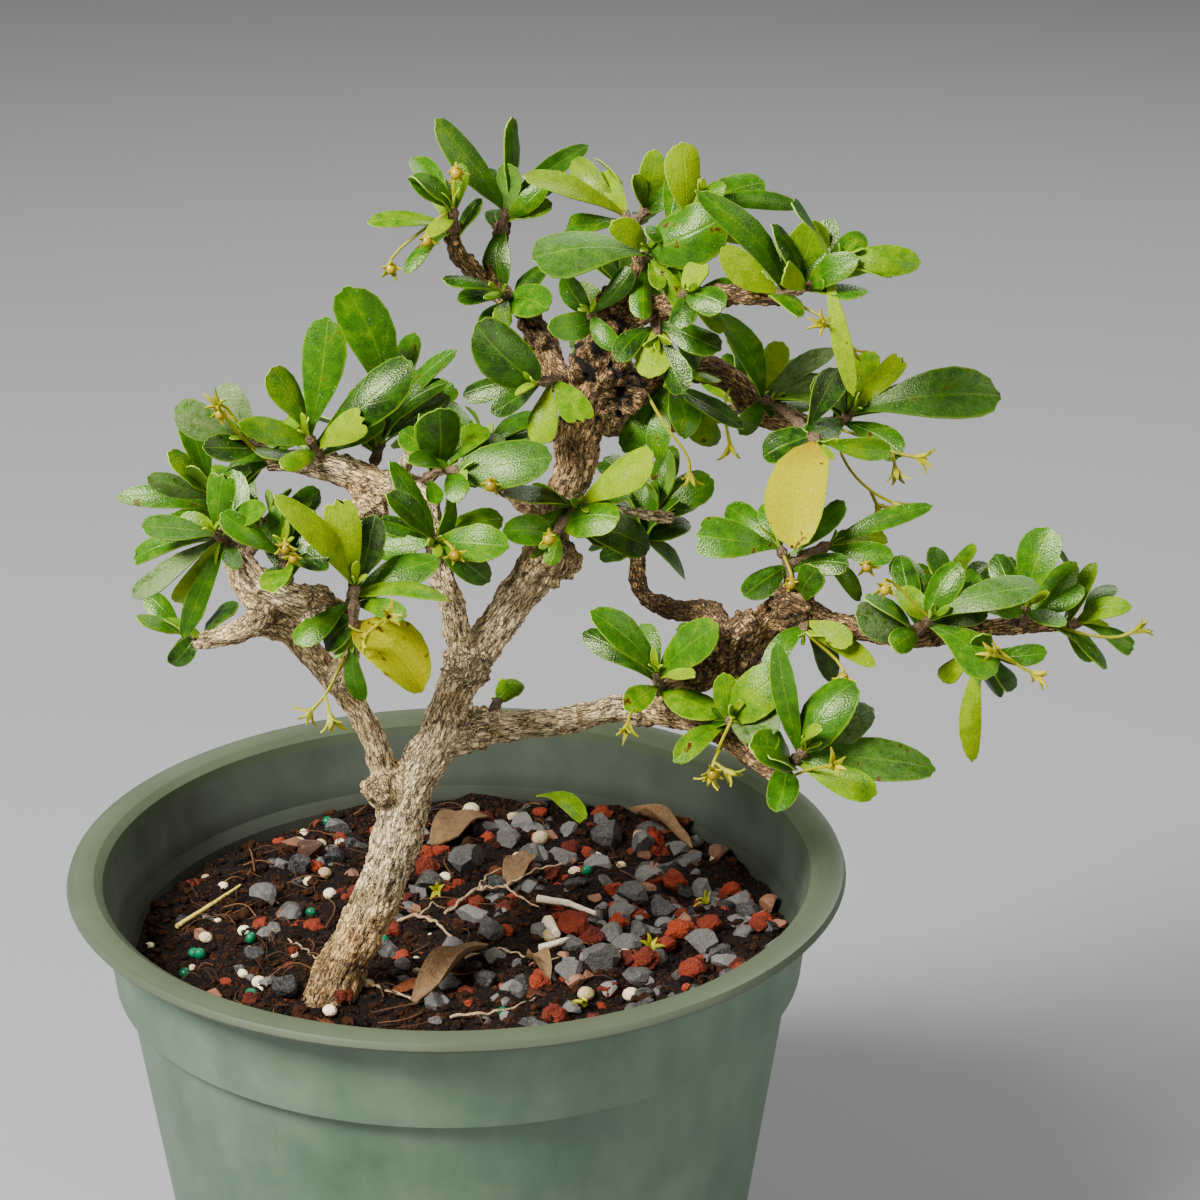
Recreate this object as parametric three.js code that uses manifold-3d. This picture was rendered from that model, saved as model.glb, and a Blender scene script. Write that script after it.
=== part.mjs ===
// A fukien tea bonsai in its nursery pot. Millimetres, +Z up, the origin under the middle of the pot's floor.
// The tree's places are given as they are seen from the front: right, up and back. Right and up are measured
// on the plane that faces the eye through the middle of the pot's rim, and back is the real depth along +Y.
import * as THREE from 'three';
import { mergeVertices } from 'three/addons/utils/BufferGeometryUtils.js';
import Module from 'manifold-3d';

const wasm = await Module();
wasm.setup();

const GAP = 0.3;

// The eye that the tree's places are seen from
const EYE = new THREE.Vector3(28.4, -588.4, 394.9);
const VIEW_DISTANCE = 650;
const VIEW_TILT = THREE.MathUtils.degToRad(21);
const VIEW_ALONG = new THREE.Vector3(0, Math.cos(VIEW_TILT), -Math.sin(VIEW_TILT));
const VIEW_UP = new THREE.Vector3(0, Math.sin(VIEW_TILT), Math.cos(VIEW_TILT));

// The pot
const POT_HEIGHT = 114;
const LIP_RADIUS = 77.5;
const LIP_THICK = 2;
const MOUTH_RADIUS = 71.9;
const BAND_TOP_RADIUS = 71;
const BAND_FOOT_RADIUS = 68.9;
const BAND_FOOT_DEPTH = 21.8;
const CONE_TOP_RADIUS = 66.6;
const CONE_TOP_DEPTH = 23.4;
const FLOOR_RADIUS = 53.7;
const WALL = 1.3;
const SHOULDER_DEPTH = 15;
const SHOULDER_RADIUS = 68.2;
const POT_SIDES = 32;
const DRAIN_HOLES = 6;
const DRAIN_HOLE_RADIUS = 5;
const DRAIN_RING_RADIUS = 39;

// The soil
const SOIL_DEPTH = 18;
const SOIL_SECTORS = 28;
const SOIL_RINGS = 4;
const STONES = 20;

// Leaves
const BLADE_THICK = 0.8;
const BLADE_ARCH = 0.07;
const ROOT_HALF_WIDTH = 0.4;
const LEAF_SPACING = 1.3;
const FACE_TILT = 0.6;
const LEAF_ROLL = 28;

/** A seeded generator of numbers from 0 to 1. */
function seeded(seed) {
  let state = seed;
  return () => {
    state = (state + 0x6d2b79f5) | 0;
    let mixed = Math.imul(state ^ (state >>> 15), 1 | state);
    mixed = (mixed + Math.imul(mixed ^ (mixed >>> 7), 61 | mixed)) ^ mixed;
    return ((mixed ^ (mixed >>> 14)) >>> 0) / 4294967296;
  };
}

/** The real point that is seen at right and up, at the depth back. */
function seen(right, up, back) {
  const ray = VIEW_ALONG.clone().multiplyScalar(VIEW_DISTANCE).addScaledVector(VIEW_UP, up);
  ray.x += right;
  return EYE.clone().addScaledVector(ray, (back - EYE.y) / ray.y);
}

/** A solid from a three.js geometry. */
function solidOf(geometry) {
  const bare = geometry.clone();
  bare.deleteAttribute('normal');
  bare.deleteAttribute('uv');
  const merged = mergeVertices(bare, 1e-4);
  return new wasm.Manifold(new wasm.Mesh({
    numProp: 3,
    vertProperties: new Float32Array(merged.attributes.position.array),
    triVerts: new Uint32Array(merged.index.array),
  }));
}

/** A closed geometry from points and triangles. */
function shell(points, triangles) {
  const geometry = new THREE.BufferGeometry();
  const flat = points.flatMap((point) => [point.x, point.y, point.z]);
  geometry.setAttribute('position', new THREE.Float32BufferAttribute(flat, 3));
  geometry.setIndex(triangles.flat());
  return geometry;
}

/** A three.js mesh with a name and a finish from a solid. */
function meshOf(name, solid, finish) {
  const { vertProperties, triVerts } = solid.getMesh();
  const geometry = new THREE.BufferGeometry();
  geometry.setAttribute('position', new THREE.Float32BufferAttribute(vertProperties, 3));
  geometry.setIndex(Array.from(triVerts));
  const mesh = new THREE.Mesh(geometry, new THREE.MeshStandardMaterial(finish));
  mesh.name = name;
  return mesh;
}

/** The largest body of a solid: loose scraps that a cut leaves are dropped. */
function largestBody(solid) {
  const bodies = solid.decompose();
  return bodies.reduce((best, body) => (body.volume() > best.volume() ? body : best));
}

/** A closed tube through rings of equal count, with a flat start, and a flat end or one point as its tip. */
function loft(rings, tip) {
  const count = rings[0].length;
  const last = (rings.length - 1) * count;
  const triangles = [];
  for (let start = 0; start < last; start += count) {
    for (let side = 0; side < count; side += 1) {
      const a = start + side;
      const b = start + ((side + 1) % count);
      triangles.push([a, b, b + count], [a, b + count, a + count]);
    }
  }
  for (let side = 1; side + 1 < count; side += 1) {
    triangles.push([0, side + 1, side]);
    if (!tip) triangles.push([last, last + side, last + side + 1]);
  }
  if (tip) {
    for (let side = 0; side < count; side += 1) {
      triangles.push([last + side, last + ((side + 1) % count), last + count]);
    }
  }
  return shell([...rings.flat(), ...(tip ? [tip] : [])], triangles);
}

/** A round stem through places seen from the front, each [right, up, back, radius]. */
function stem(places, sides, grow = 0) {
  const points = places.map(([right, up, back]) => seen(right, up, back));
  const first = points[1].clone().sub(points[0]).normalize();
  let across = new THREE.Vector3(0.31, -0.9, 0.2).cross(first).normalize();
  const rings = points.map((point, index) => {
    const before = points[Math.max(index - 1, 0)];
    const after = points[Math.min(index + 1, points.length - 1)];
    const along = after.clone().sub(before).normalize();
    across = across.addScaledVector(along, -across.dot(along)).normalize();
    const other = along.clone().cross(across);
    const radius = places[index][3] + grow;
    return Array.from({ length: sides }, (unused, side) => {
      const turn = (side / sides) * Math.PI * 2;
      return point.clone()
        .addScaledVector(across, Math.cos(turn) * radius)
        .addScaledVector(other, Math.sin(turn) * radius);
    });
  });
  return solidOf(loft(rings));
}

/** A faceted knob at a real point. */
function knob(geometry, centre) {
  geometry.translate(centre.x, centre.y, centre.z);
  return solidOf(geometry);
}

// The pot

/** The moulded pot: a flat lip, a band, an inner shoulder, a tapering wall and a floor with drainage. */
function potSolid() {
  const slope = (CONE_TOP_RADIUS - FLOOR_RADIUS) / (POT_HEIGHT - CONE_TOP_DEPTH);
  const shoulderInner = CONE_TOP_RADIUS - WALL + 0.6;
  const profile = [
    [0, 0],
    [FLOOR_RADIUS - 1.5, 0],
    [FLOOR_RADIUS, 1.5],
    [CONE_TOP_RADIUS, POT_HEIGHT - CONE_TOP_DEPTH],
    [BAND_FOOT_RADIUS, POT_HEIGHT - BAND_FOOT_DEPTH],
    [BAND_TOP_RADIUS, POT_HEIGHT - 3.4],
    [LIP_RADIUS - 4.6, POT_HEIGHT - LIP_THICK],
    [LIP_RADIUS - 0.5, POT_HEIGHT - LIP_THICK],
    [LIP_RADIUS, POT_HEIGHT - 1.3],
    [LIP_RADIUS - 0.5, POT_HEIGHT],
    [MOUTH_RADIUS + 0.3, POT_HEIGHT],
    [MOUTH_RADIUS - 1.4, POT_HEIGHT - 1.2],
    [SHOULDER_RADIUS, POT_HEIGHT - SHOULDER_DEPTH],
    [shoulderInner, POT_HEIGHT - SHOULDER_DEPTH - 2],
    [FLOOR_RADIUS + slope * WALL - WALL, WALL],
    [0, WALL],
  ];
  const points = profile.map(([radius, height]) => new THREE.Vector2(radius, height));
  const lathe = new THREE.LatheGeometry(points, POT_SIDES);
  lathe.rotateX(Math.PI / 2);
  let solid = solidOf(lathe);
  for (let hole = 0; hole < DRAIN_HOLES; hole += 1) {
    const turn = (hole / DRAIN_HOLES) * Math.PI * 2;
    const drill = new THREE.CylinderGeometry(DRAIN_HOLE_RADIUS, DRAIN_HOLE_RADIUS, WALL * 4, 8);
    drill.rotateX(Math.PI / 2);
    drill.translate(Math.cos(turn) * DRAIN_RING_RADIUS, Math.sin(turn) * DRAIN_RING_RADIUS, 0);
    solid = solid.subtract(solidOf(drill));
  }
  return solid;
}

// The soil

/** The height of the soil's surface: higher round the foot and at the back right, lower at the front left. */
function soilHeight(x, y) {
  const slope = 0.022 * x + 0.012 * y;
  const waves = 0.9 * Math.sin(x * 0.13 + 1) * Math.cos(y * 0.17) + 0.5 * Math.sin(x * 0.31 - y * 0.27);
  const mound = 1.5 * Math.exp(-((x + 24) ** 2 + (y + 25) ** 2) / 260);
  return POT_HEIGHT - SOIL_DEPTH + slope + waves + mound;
}

/** The inside radius of the pot at a height, with the gap that the soil keeps. */
function soilRadius(height) {
  const slope = (CONE_TOP_RADIUS - FLOOR_RADIUS) / (POT_HEIGHT - CONE_TOP_DEPTH);
  return FLOOR_RADIUS + slope * height - WALL - GAP - 0.25;
}

/** A rough stone: a squashed, turned lump that is sunk by half into the soil. */
function stoneSolid(random, x, y, size) {
  const wide = size * (1.1 + random() * 0.4);
  const high = size * (0.9 + random() * 0.5);
  const lump = new THREE.BoxGeometry(size * 1.6, wide, high);
  lump.rotateX(random() * 0.8 - 0.4);
  lump.rotateZ(random() * Math.PI);
  lump.translate(x, y, soilHeight(x, y) + size * 0.18);
  return solidOf(lump);
}

/** The settled bed: a relief disc that fills the pot, with its larger stones standing out of the surface. */
function soilSolid() {
  const foot = WALL + GAP;
  const points = [new THREE.Vector3(0, 0, soilHeight(0, 0))];
  const triangles = [];
  for (let ring = 1; ring <= SOIL_RINGS; ring += 1) {
    for (let sector = 0; sector < SOIL_SECTORS; sector += 1) {
      const turn = (sector / SOIL_SECTORS) * Math.PI * 2;
      const radius = (ring / SOIL_RINGS) * soilRadius(POT_HEIGHT - SOIL_DEPTH - 3);
      const x = Math.cos(turn) * radius;
      const y = Math.sin(turn) * radius;
      points.push(new THREE.Vector3(x, y, soilHeight(x, y)));
    }
  }
  for (let sector = 0; sector < SOIL_SECTORS; sector += 1) {
    const turn = (sector / SOIL_SECTORS) * Math.PI * 2;
    const reach = soilRadius(foot);
    points.push(new THREE.Vector3(Math.cos(turn) * reach, Math.sin(turn) * reach, foot));
  }
  points.push(new THREE.Vector3(0, 0, foot));
  for (let sector = 0; sector < SOIL_SECTORS; sector += 1) {
    const next = (sector + 1) % SOIL_SECTORS;
    triangles.push([0, 1 + sector, 1 + next]);
    for (let ring = 0; ring < SOIL_RINGS; ring += 1) {
      const a = 1 + ring * SOIL_SECTORS + sector;
      const b = 1 + ring * SOIL_SECTORS + next;
      triangles.push([a, a + SOIL_SECTORS, b + SOIL_SECTORS], [a, b + SOIL_SECTORS, b]);
    }
    const last = 1 + SOIL_RINGS * SOIL_SECTORS;
    triangles.push([points.length - 1, last + next, last + sector]);
  }
  let solid = solidOf(shell(points, triangles));
  const random = seeded(41);
  for (let stone = 0; stone < STONES; stone += 1) {
    const radius = Math.sqrt(random()) * 57;
    const turn = random() * Math.PI * 2;
    const size = 2 + random() * 2.6;
    solid = solid.add(stoneSolid(random, Math.cos(turn) * radius, Math.sin(turn) * radius, size));
  }
  return solid;
}

// The wood

// Each limb's places are [right, up, back, radius]. A branch's first place lies inside what it grows from.
const LIMBS = {
  trunk: [
    [-57.5, -92, -25, 7], [-55.6, -85, -25, 6.4], [-54.2, -81, -25, 5.7], [-51, -72.4, -24.5, 5],
    [-47.2, -65, -24, 4.7], [-43.2, -55.4, -23, 4.6], [-40.4, -46, -21.5, 4.9], [-39, -39, -20, 5.3],
    [-35.6, -33, -18.5, 4.5], [-31.8, -26.4, -17, 4.1], [-30.2, -20.8, -15, 3.8], [-28.6, -17, -13.5, 4.1],
    [-26.6, -12.4, -12, 4.1], [-22.4, -7.6, -10, 3.8], [-18.4, -2, -8, 3.7], [-14.2, 3.8, -6, 3.9],
    [-11, 9.6, -5, 3.6], [-8.8, 17, -3.5, 3.6], [-5.2, 26.6, -2, 3.9], [-4.4, 32.6, -1, 4.3],
    [-2, 43, 0, 4.9], [0.2, 48.8, 0.5, 4], [2.4, 55.6, 1, 3.8], [6, 60.8, 1.5, 3], [9.2, 66.4, 2, 2.2],
    [10, 70.6, 2, 1.9],
  ],
  upper_left: [
    [-3.8, 41, 0, 2.8], [-9.6, 46.4, 4, 2.8], [-11.2, 51, 8, 2.5], [-13.6, 56, 11, 2], [-19, 60.4, 13, 1.9],
    [-23, 63, 14, 1.8], [-26.4, 67, 13, 1.7], [-29, 71, 12, 1.5], [-29.6, 75, 12, 1.4],
  ],
  upper_left_fork: [[-22, 61.6, 14, 1.5], [-21, 66, 16, 1.5], [-19.2, 75.6, 20, 1.4]],
  high_right: [
    [2.4, 56.4, 0, 2.6], [10, 58, -4, 2.4], [18, 60, -9, 2.1], [24.4, 61, -13, 2], [31.4, 61.2, -16, 1.9],
    [36.4, 60.4, -18, 1.6],
  ],
  middle_right: [
    [-2, 42, 0, 3.4], [4.6, 41.2, 3, 3.3], [9, 43.4, 6, 3.2], [14, 46.4, 10, 3], [21, 46, 12, 2.8],
    [26.4, 43.6, 13, 2.6], [29.8, 40, 13, 2.5], [33, 37.2, 12, 2.4], [38, 36, 10, 2.3], [44, 33.8, 7, 2.3],
    [47, 34.4, 5, 1.9],
  ],
  low_right: [
    [-32, -29, -17, 3.4], [-24, -26, -15, 3.2], [-16, -25.2, -14, 2.9], [-8, -24.4, -14, 2.7],
    [2.2, -22, -16, 2.8], [12.4, -21.2, -18, 3.1], [14.2, -17.6, -19, 2.9], [20.6, -15, -20, 2.9],
    [25.2, -13.2, -21, 3], [28.8, -9.8, -22, 3.4], [32.2, -5.6, -23, 3.2], [36.2, -2, -24, 3.1],
    [39.6, -1.4, -25, 2.9], [44, -4, -26, 2.4], [53.2, -5.8, -28, 2.1], [64, -7.4, -28, 1.9],
    [75.8, -5.6, -26, 1.8], [84.6, -5.2, -24, 1.7], [92.4, -5, -22, 1.5],
  ],
  low_right_fork: [
    [10, -21.6, -18, 2.4], [16.4, -23.4, -22, 2.4], [21, -24.8, -26, 2.3], [25.6, -27.2, -29, 2.2],
    [30, -31, -32, 1.9], [33.6, -34, -34, 1.7], [38, -35.4, -36, 1.5],
  ],
  far_right: [
    [27, -10.6, -21, 2.2], [24.6, -5.4, -12, 2.2], [21.6, -2.2, -2, 2.2], [16.6, -2.2, 8, 2.1],
    [11.8, -0.8, 18, 2], [8.4, 1.8, 26, 1.8], [7.4, 6, 30, 1.7], [8.6, 12, 33, 1.5],
  ],
  low_left: [
    [-40, -39.6, -20, 3.2], [-43.4, -33.6, -20, 2.7], [-45.2, -28, -21, 2.4], [-48.4, -22, -21, 2.4],
    [-52.6, -16.4, -22, 2.5], [-57.4, -11, -22, 2.5], [-61.8, -6.4, -22, 2.6], [-66.8, -3.4, -22, 2.7],
    [-71, -6.2, -20, 2.3], [-76, -7.4, -17, 2], [-80.6, -8.4, -14, 1.7],
  ],
  low_left_rise: [
    [-66, -3.6, -22, 2.2], [-70, 0.6, -17, 2], [-73, 6, -10, 1.8], [-75.4, 11.6, -3, 1.6],
    [-76.6, 16, 3, 1.4],
  ],
  pale_left: [
    [-52.2, -16.6, -22, 2.2], [-50.8, -10.6, -28, 2.2], [-51.4, -4.8, -34, 2.5], [-55, -1.8, -37, 2.8],
    [-59.4, -0.4, -39, 2.9], [-64.4, 1.6, -41, 2.7], [-69, 4, -41, 2.5], [-71.8, 7.2, -40, 2.2],
    [-73.6, 10.6, -38, 1.9], [-75.2, 13, -36, 1.6],
  ],
  centre_left: [
    [-27.4, -12.8, -12, 2.8], [-28.8, -5, -14, 2.5], [-30.2, 1.6, -15, 2.3], [-32, 7, -15, 2.3],
    [-34, 17, -13, 2.2], [-35.2, 21, -11, 2.3], [-38.4, 23, -9, 2.5],
    [-42.4, 23, -7, 2.8], [-47, 24.2, -5, 3], [-52.4, 26, -4, 3.1], [-57.8, 27.2, -3, 2.6],
    [-62.8, 27.8, -3, 2], [-66.4, 27.4, -3, 1.7],
  ],
  back_high: [[-3.6, 36, 1, 2.4], [-2, 40, 10, 2.2], [2, 45, 20, 2], [6, 51, 29, 1.8], [7.6, 58, 35, 1.6]],
  back_left: [
    [-9.6, 15, -3, 2.6], [-15, 20, 8, 2.2], [-22, 25, 18, 2], [-30, 30, 26, 1.8], [-38, 34, 31, 1.5],
  ],
  back_right: [[-3.8, 35, 0, 2.4], [3, 35, 10, 2.2], [12, 35, 20, 2], [20, 36, 28, 1.8], [27, 38, 33, 1.5]],
};
const LIMB_SIDES = { trunk: 9, low_right: 6 };
const SIDES_OF_A_BRANCH = 5;

// Burrs and healed cuts: [right, up, back, radius]
const BURRS = [
  [-43.4, -37.6, -21, 3.4], [-24.4, -25.6, -16.4, 3.6], [-26.6, -13, -13.4, 4.2], [-9, 8.4, -6.4, 4],
  [-0.4, 48, -1.6, 4.4], [3, 55.4, -1, 4.2], [4.8, 41.4, 1, 4], [-46, 22.6, -5.6, 3.4],
  [28.4, -10.4, -22.6, 4], [38.6, -1.4, -25.4, 4], [-56.8, -0.8, -38.4, 3.5], [-66, -3.6, -22.4, 3.4],
];

/** The whole tree without its shoots, grown on all sides by a small amount to cut a clearance with it. */
function woodSolid(grow) {
  const limbs = Object.entries(LIMBS).map(([name, places]) => (
    stem(places, LIMB_SIDES[name] ?? SIDES_OF_A_BRANCH, grow)
  ));
  const burrs = BURRS.map(([right, up, back, radius]) => (
    knob(new THREE.IcosahedronGeometry(radius + grow), seen(right, up, back))
  ));
  return wasm.Manifold.union([...limbs, ...burrs]);
}

// The shoots

// A rosette stands at the end of a twig: twig lists the places that the twig passes, the last one the bud.
// A leaf is [right, up, lean, wide, turn]: where its tip is seen, how far the tip stands behind the bud, its
// width, and how far its face is turned about its midrib from the eye, in degrees. Fill adds that many leaves
// on the side that faces away, by the spiral that the tree's leaves follow.
const SHOOTS = {
  crown_left: [{
    twig: [[-19.6, 73, 18], [-18.4, 79.6, 20]],
    leaves: [
      [-33, 96.2, -6, 6.6], [-18.4, 96.8, -3, 4.8, 55], [-2.4, 91, 5, 4.2, 30], [-11, 83.4, -4, 4.2],
      [-20.6, 62.8, -8, 6], [-9.6, 79.4, -1, 3.6, 20],
    ],
    fill: 1,
  }],
  crown_far_left: [{
    twig: [[-29.4, 71, 12], [-29.4, 78.6, 9]],
    leaves: [
      [-36.6, 89.6, 5, 5], [-37.4, 84.6, -4, 4.8], [-45.8, 77.6, -2, 4.4, 20],
      [-39.4, 67.6, -6, 3.6, 30], [-34, 74.6, -7, 3.6],
    ],
    fill: 0,
  }],
  crown_arch: [
    {
      twig: [[9.8, 69, 3], [6.6, 75, 8], [4.4, 78, 11]],
      leaves: [[-13.8, 86.6, -4, 5.6, 15], [-6, 88.4, 5, 5, -20], [-7, 75, 5, 5]],
      fill: 1,
    },
    {
      twig: [[6.6, 75, 8], [10, 79, 10]],
      leaves: [[10.4, 88, 1, 4], [6.6, 85, -3, 3.6, 25]],
      fill: 0,
    },
  ],
  crown_right: [{
    twig: [[9.8, 67, 1], [15, 74, -4], [19, 79, -7]],
    leaves: [
      [16.4, 91.6, 2, 7.2], [24.6, 83, -3, 4.4], [40.8, 78.8, 3, 3.6, 25], [30.6, 81.2, 7, 4.4],
      [30, 73.6, -2, 5, 20],
    ],
    fill: 1,
  }],
  crown_hub: [{
    twig: [[9.4, 66, 1], [9.6, 70, -7]],
    leaves: [
      [-13.6, 68.4, -6, 11], [23.6, 76.6, -5, 11.4], [11.6, 61.6, -5, 3.4], [16.2, 60, -6, 3.6],
      [8.4, 56, -5, 4.4],
    ],
    fill: 0,
  }],
  crown_front: [{
    twig: [[-17.4, 59.4, 12], [-19.4, 61.4, 5]],
    leaves: [[-10.4, 58, -4, 8], [-20, 54.6, -6, 4], [-28.6, 60, -2, 4], [-30, 66, -5, 3.6, 30]],
    fill: 0,
  }],
  crown_middle: [{
    twig: [[1, 52, 0], [-2, 57.4, -8]],
    leaves: [[-9.6, 54.6, -4, 5.4], [-7.4, 64.8, 1, 4.6], [6.2, 66, -2, 4.2]],
    fill: 0,
  }],
  crown_low: [{
    twig: [[-6, 44.4, -1], [-12.6, 43.4, -9]],
    leaves: [
      [-24.6, 55, -4, 10], [-4.2, 37.4, -7, 6.2], [-12.4, 31.4, -4, 6, 20], [-27.6, 42, 2, 5.4],
      [-21.4, 37.6, -5, 4.4, -20],
    ],
    fill: 0,
  }],
  high_tip: [
    {
      twig: [[33, 60.8, -17], [41.8, 62.4, -23]],
      leaves: [
        [21.8, 80.4, -8, 5.4], [43.4, 76, 2, 8], [53.6, 61, -5, 4.2], [24.2, 70.4, 5, 6, -20],
        [49.6, 68.4, -7, 5.4],
      ],
      fill: 1,
    },
    {
      twig: [[41.8, 62.4, -23], [47.6, 68, -25]],
      leaves: [[63.4, 68.8, -4, 5.8], [49.8, 41, -9, 3.6, 20], [53, 73, 5, 5]],
      fill: 0,
    },
  ],
  high_inner: [{
    twig: [[16, 59.6, -8], [17.4, 61.6, -14]],
    leaves: [[25, 59, -5, 6], [15.8, 54.8, -5, 5.4], [27.8, 63, 3, 5]],
    fill: 0,
  }],
  high_under: [{
    twig: [[11, 57.6, -4], [11.6, 53, -11]],
    leaves: [[10, 44.6, -6, 7], [23.4, 51.6, -3, 6.4], [16.6, 41.4, -8, 6, 30], [3.4, 48.6, -5, 5]],
    fill: 0,
  }],
  middle_inner: [{
    twig: [[14, 45, 9], [14.6, 42.6, 0]],
    leaves: [[28.8, 36, -6, 4.6], [18, 33.6, -5, 7], [4.2, 31, -3, 6], [10.4, 29, -6, 5]],
    fill: 0,
  }],
  middle_top: [
    {
      twig: [[30, 40, 13], [34.6, 40, 6]],
      leaves: [
        [24.8, 57, -5, 5.4], [36.6, 51.6, 3, 5.4], [47.6, 49.6, 2, 6.4], [49.6, 44.6, -5, 8],
        [42.4, 39, -8, 6],
      ],
      fill: 1,
    },
    {
      twig: [[34.6, 40, 6], [43.6, 31.6, -12]],
      leaves: [[32.4, 29.4, 2, 8], [38.8, 10.2, -16, 11.4], [57.8, 30, 4, 4.4, 30]],
      fill: 0,
    },
  ],
  middle_tip: [{
    twig: [[45.6, 34, 6], [50.8, 37.8, -1]],
    leaves: [
      [78.6, 43.4, -6, 11], [60.4, 48.6, 2, 4.4, 15], [60.6, 29, -5, 6.2], [43, 44.4, -5, 6],
    ],
    fill: 2,
  }],
  right_core: [
    {
      twig: [[38.4, -1, -25], [37.6, 7, -22], [35.8, 10.8, -22]],
      leaves: [
        [20.2, 13.4, -4, 7.8], [48.8, 8, -6, 5.2], [28.8, 1, -7, 5.6], [49, 19.4, 5, 4.4],
        [33, 20, 6, 5],
      ],
      fill: 0,
    },
    {
      twig: [[37.6, 7, -22], [46, 11.2, -18]],
      leaves: [[66.6, 19, 2, 4], [58.8, 8.6, -4, 4.6], [52.8, 0.6, -5, 3.6]],
      fill: 0,
    },
  ],
  arm_inner: [{
    twig: [[62, -7.6, -28], [66, -3.6, -34]],
    leaves: [
      [50.8, -3, -3, 8], [71, 7.6, 2, 7], [76, 5.6, 9, 5.6], [86.6, 4.4, -3, 7.6], [79.4, -14.4, -5, 8],
      [58.6, -9.6, -6, 5],
    ],
    fill: 2,
  }],
  arm_under: [{
    twig: [[76, -6, -26], [76, -11.6, -31]],
    leaves: [[73.4, -33.4, -3, 4.2], [89.2, -10.6, -3, 4.2, 30]],
    fill: 0,
  }],
  arm_middle: [{
    twig: [[84, -5.2, -24], [85.4, -1.4, -28]],
    leaves: [[89.8, 14.4, 2, 8], [97, 2.2, 3, 4], [79.6, 9.4, 6, 5], [93, -4.6, -7, 4.2]],
    fill: 1,
  }],
  arm_tip: [{
    twig: [[90, -5, -22.6], [96.4, -4.6, -22]],
    leaves: [
      [98.4, 7.6, 1, 3.8], [105.6, -0.6, -4, 4.6], [107.2, -9.4, -2, 3.6], [99, -12, -5, 3.8],
    ],
    fill: 0,
  }],
  low_left_of_right: [{
    twig: [[12, -20, -18], [11.4, -14.4, -25]],
    leaves: [
      [-1.2, -2, -2, 7.4], [-3, -6, 6, 5.4], [23.8, -5, -5, 8], [18, -14.4, -7, 3.8], [5.6, -20.8, -6, 5],
      [24.6, -23.8, -7, 7.8],
    ],
    fill: 0,
  }],
  low_right_inner: [{
    twig: [[25, -26.8, -28.6], [26.4, -23.8, -36]],
    leaves: [
      [24.8, -15, 2, 5], [35.2, -14, -2, 9], [35.8, -26, -5, 9.4], [16, -30.6, -6, 4.6],
    ],
    fill: 0,
  }],
  low_right_front: [{
    twig: [[36, -34.8, -35], [41, -30, -42]],
    leaves: [
      [35.8, -8.8, 4, 4.8], [48.8, -16.2, 1, 9.6], [33, -28.6, -6, 8], [42.4, -25.4, -7, 3.4],
      [35.2, -42.4, -3, 5.8], [55, -38.6, -6, 5.8], [67.4, -31.2, 1, 9.6], [54.4, -21, 6, 8],
    ],
    fill: 1,
  }],
  fork_right: [{
    twig: [[40, -1.4, -25], [41, -6.4, -30]],
    leaves: [[50.4, -8.8, -4, 4.6, 20], [55.2, -13.2, -3, 3.8, 25], [33, -13, -6, 4.6], [46, -16, 5, 5]],
    fill: 0,
  }],
  trunk_right: [
    {
      twig: [[-7.6, 19, -3], [-4.4, 18.8, -11]],
      leaves: [[9, 30, -4, 8.4], [-18.6, 22.4, -4, 6.2], [-13, 13, -3, 4.6], [6, 22, 6, 5.4]],
      fill: 0,
    },
    {
      twig: [[-4.4, 18.8, -11], [-9.6, 12.8, -14]],
      leaves: [[3.6, 16.6, -4, 8], [-19.4, 13.8, -3, 6], [-10, 7.2, -4, 3.4], [11.2, 12, 4, 8]],
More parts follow.
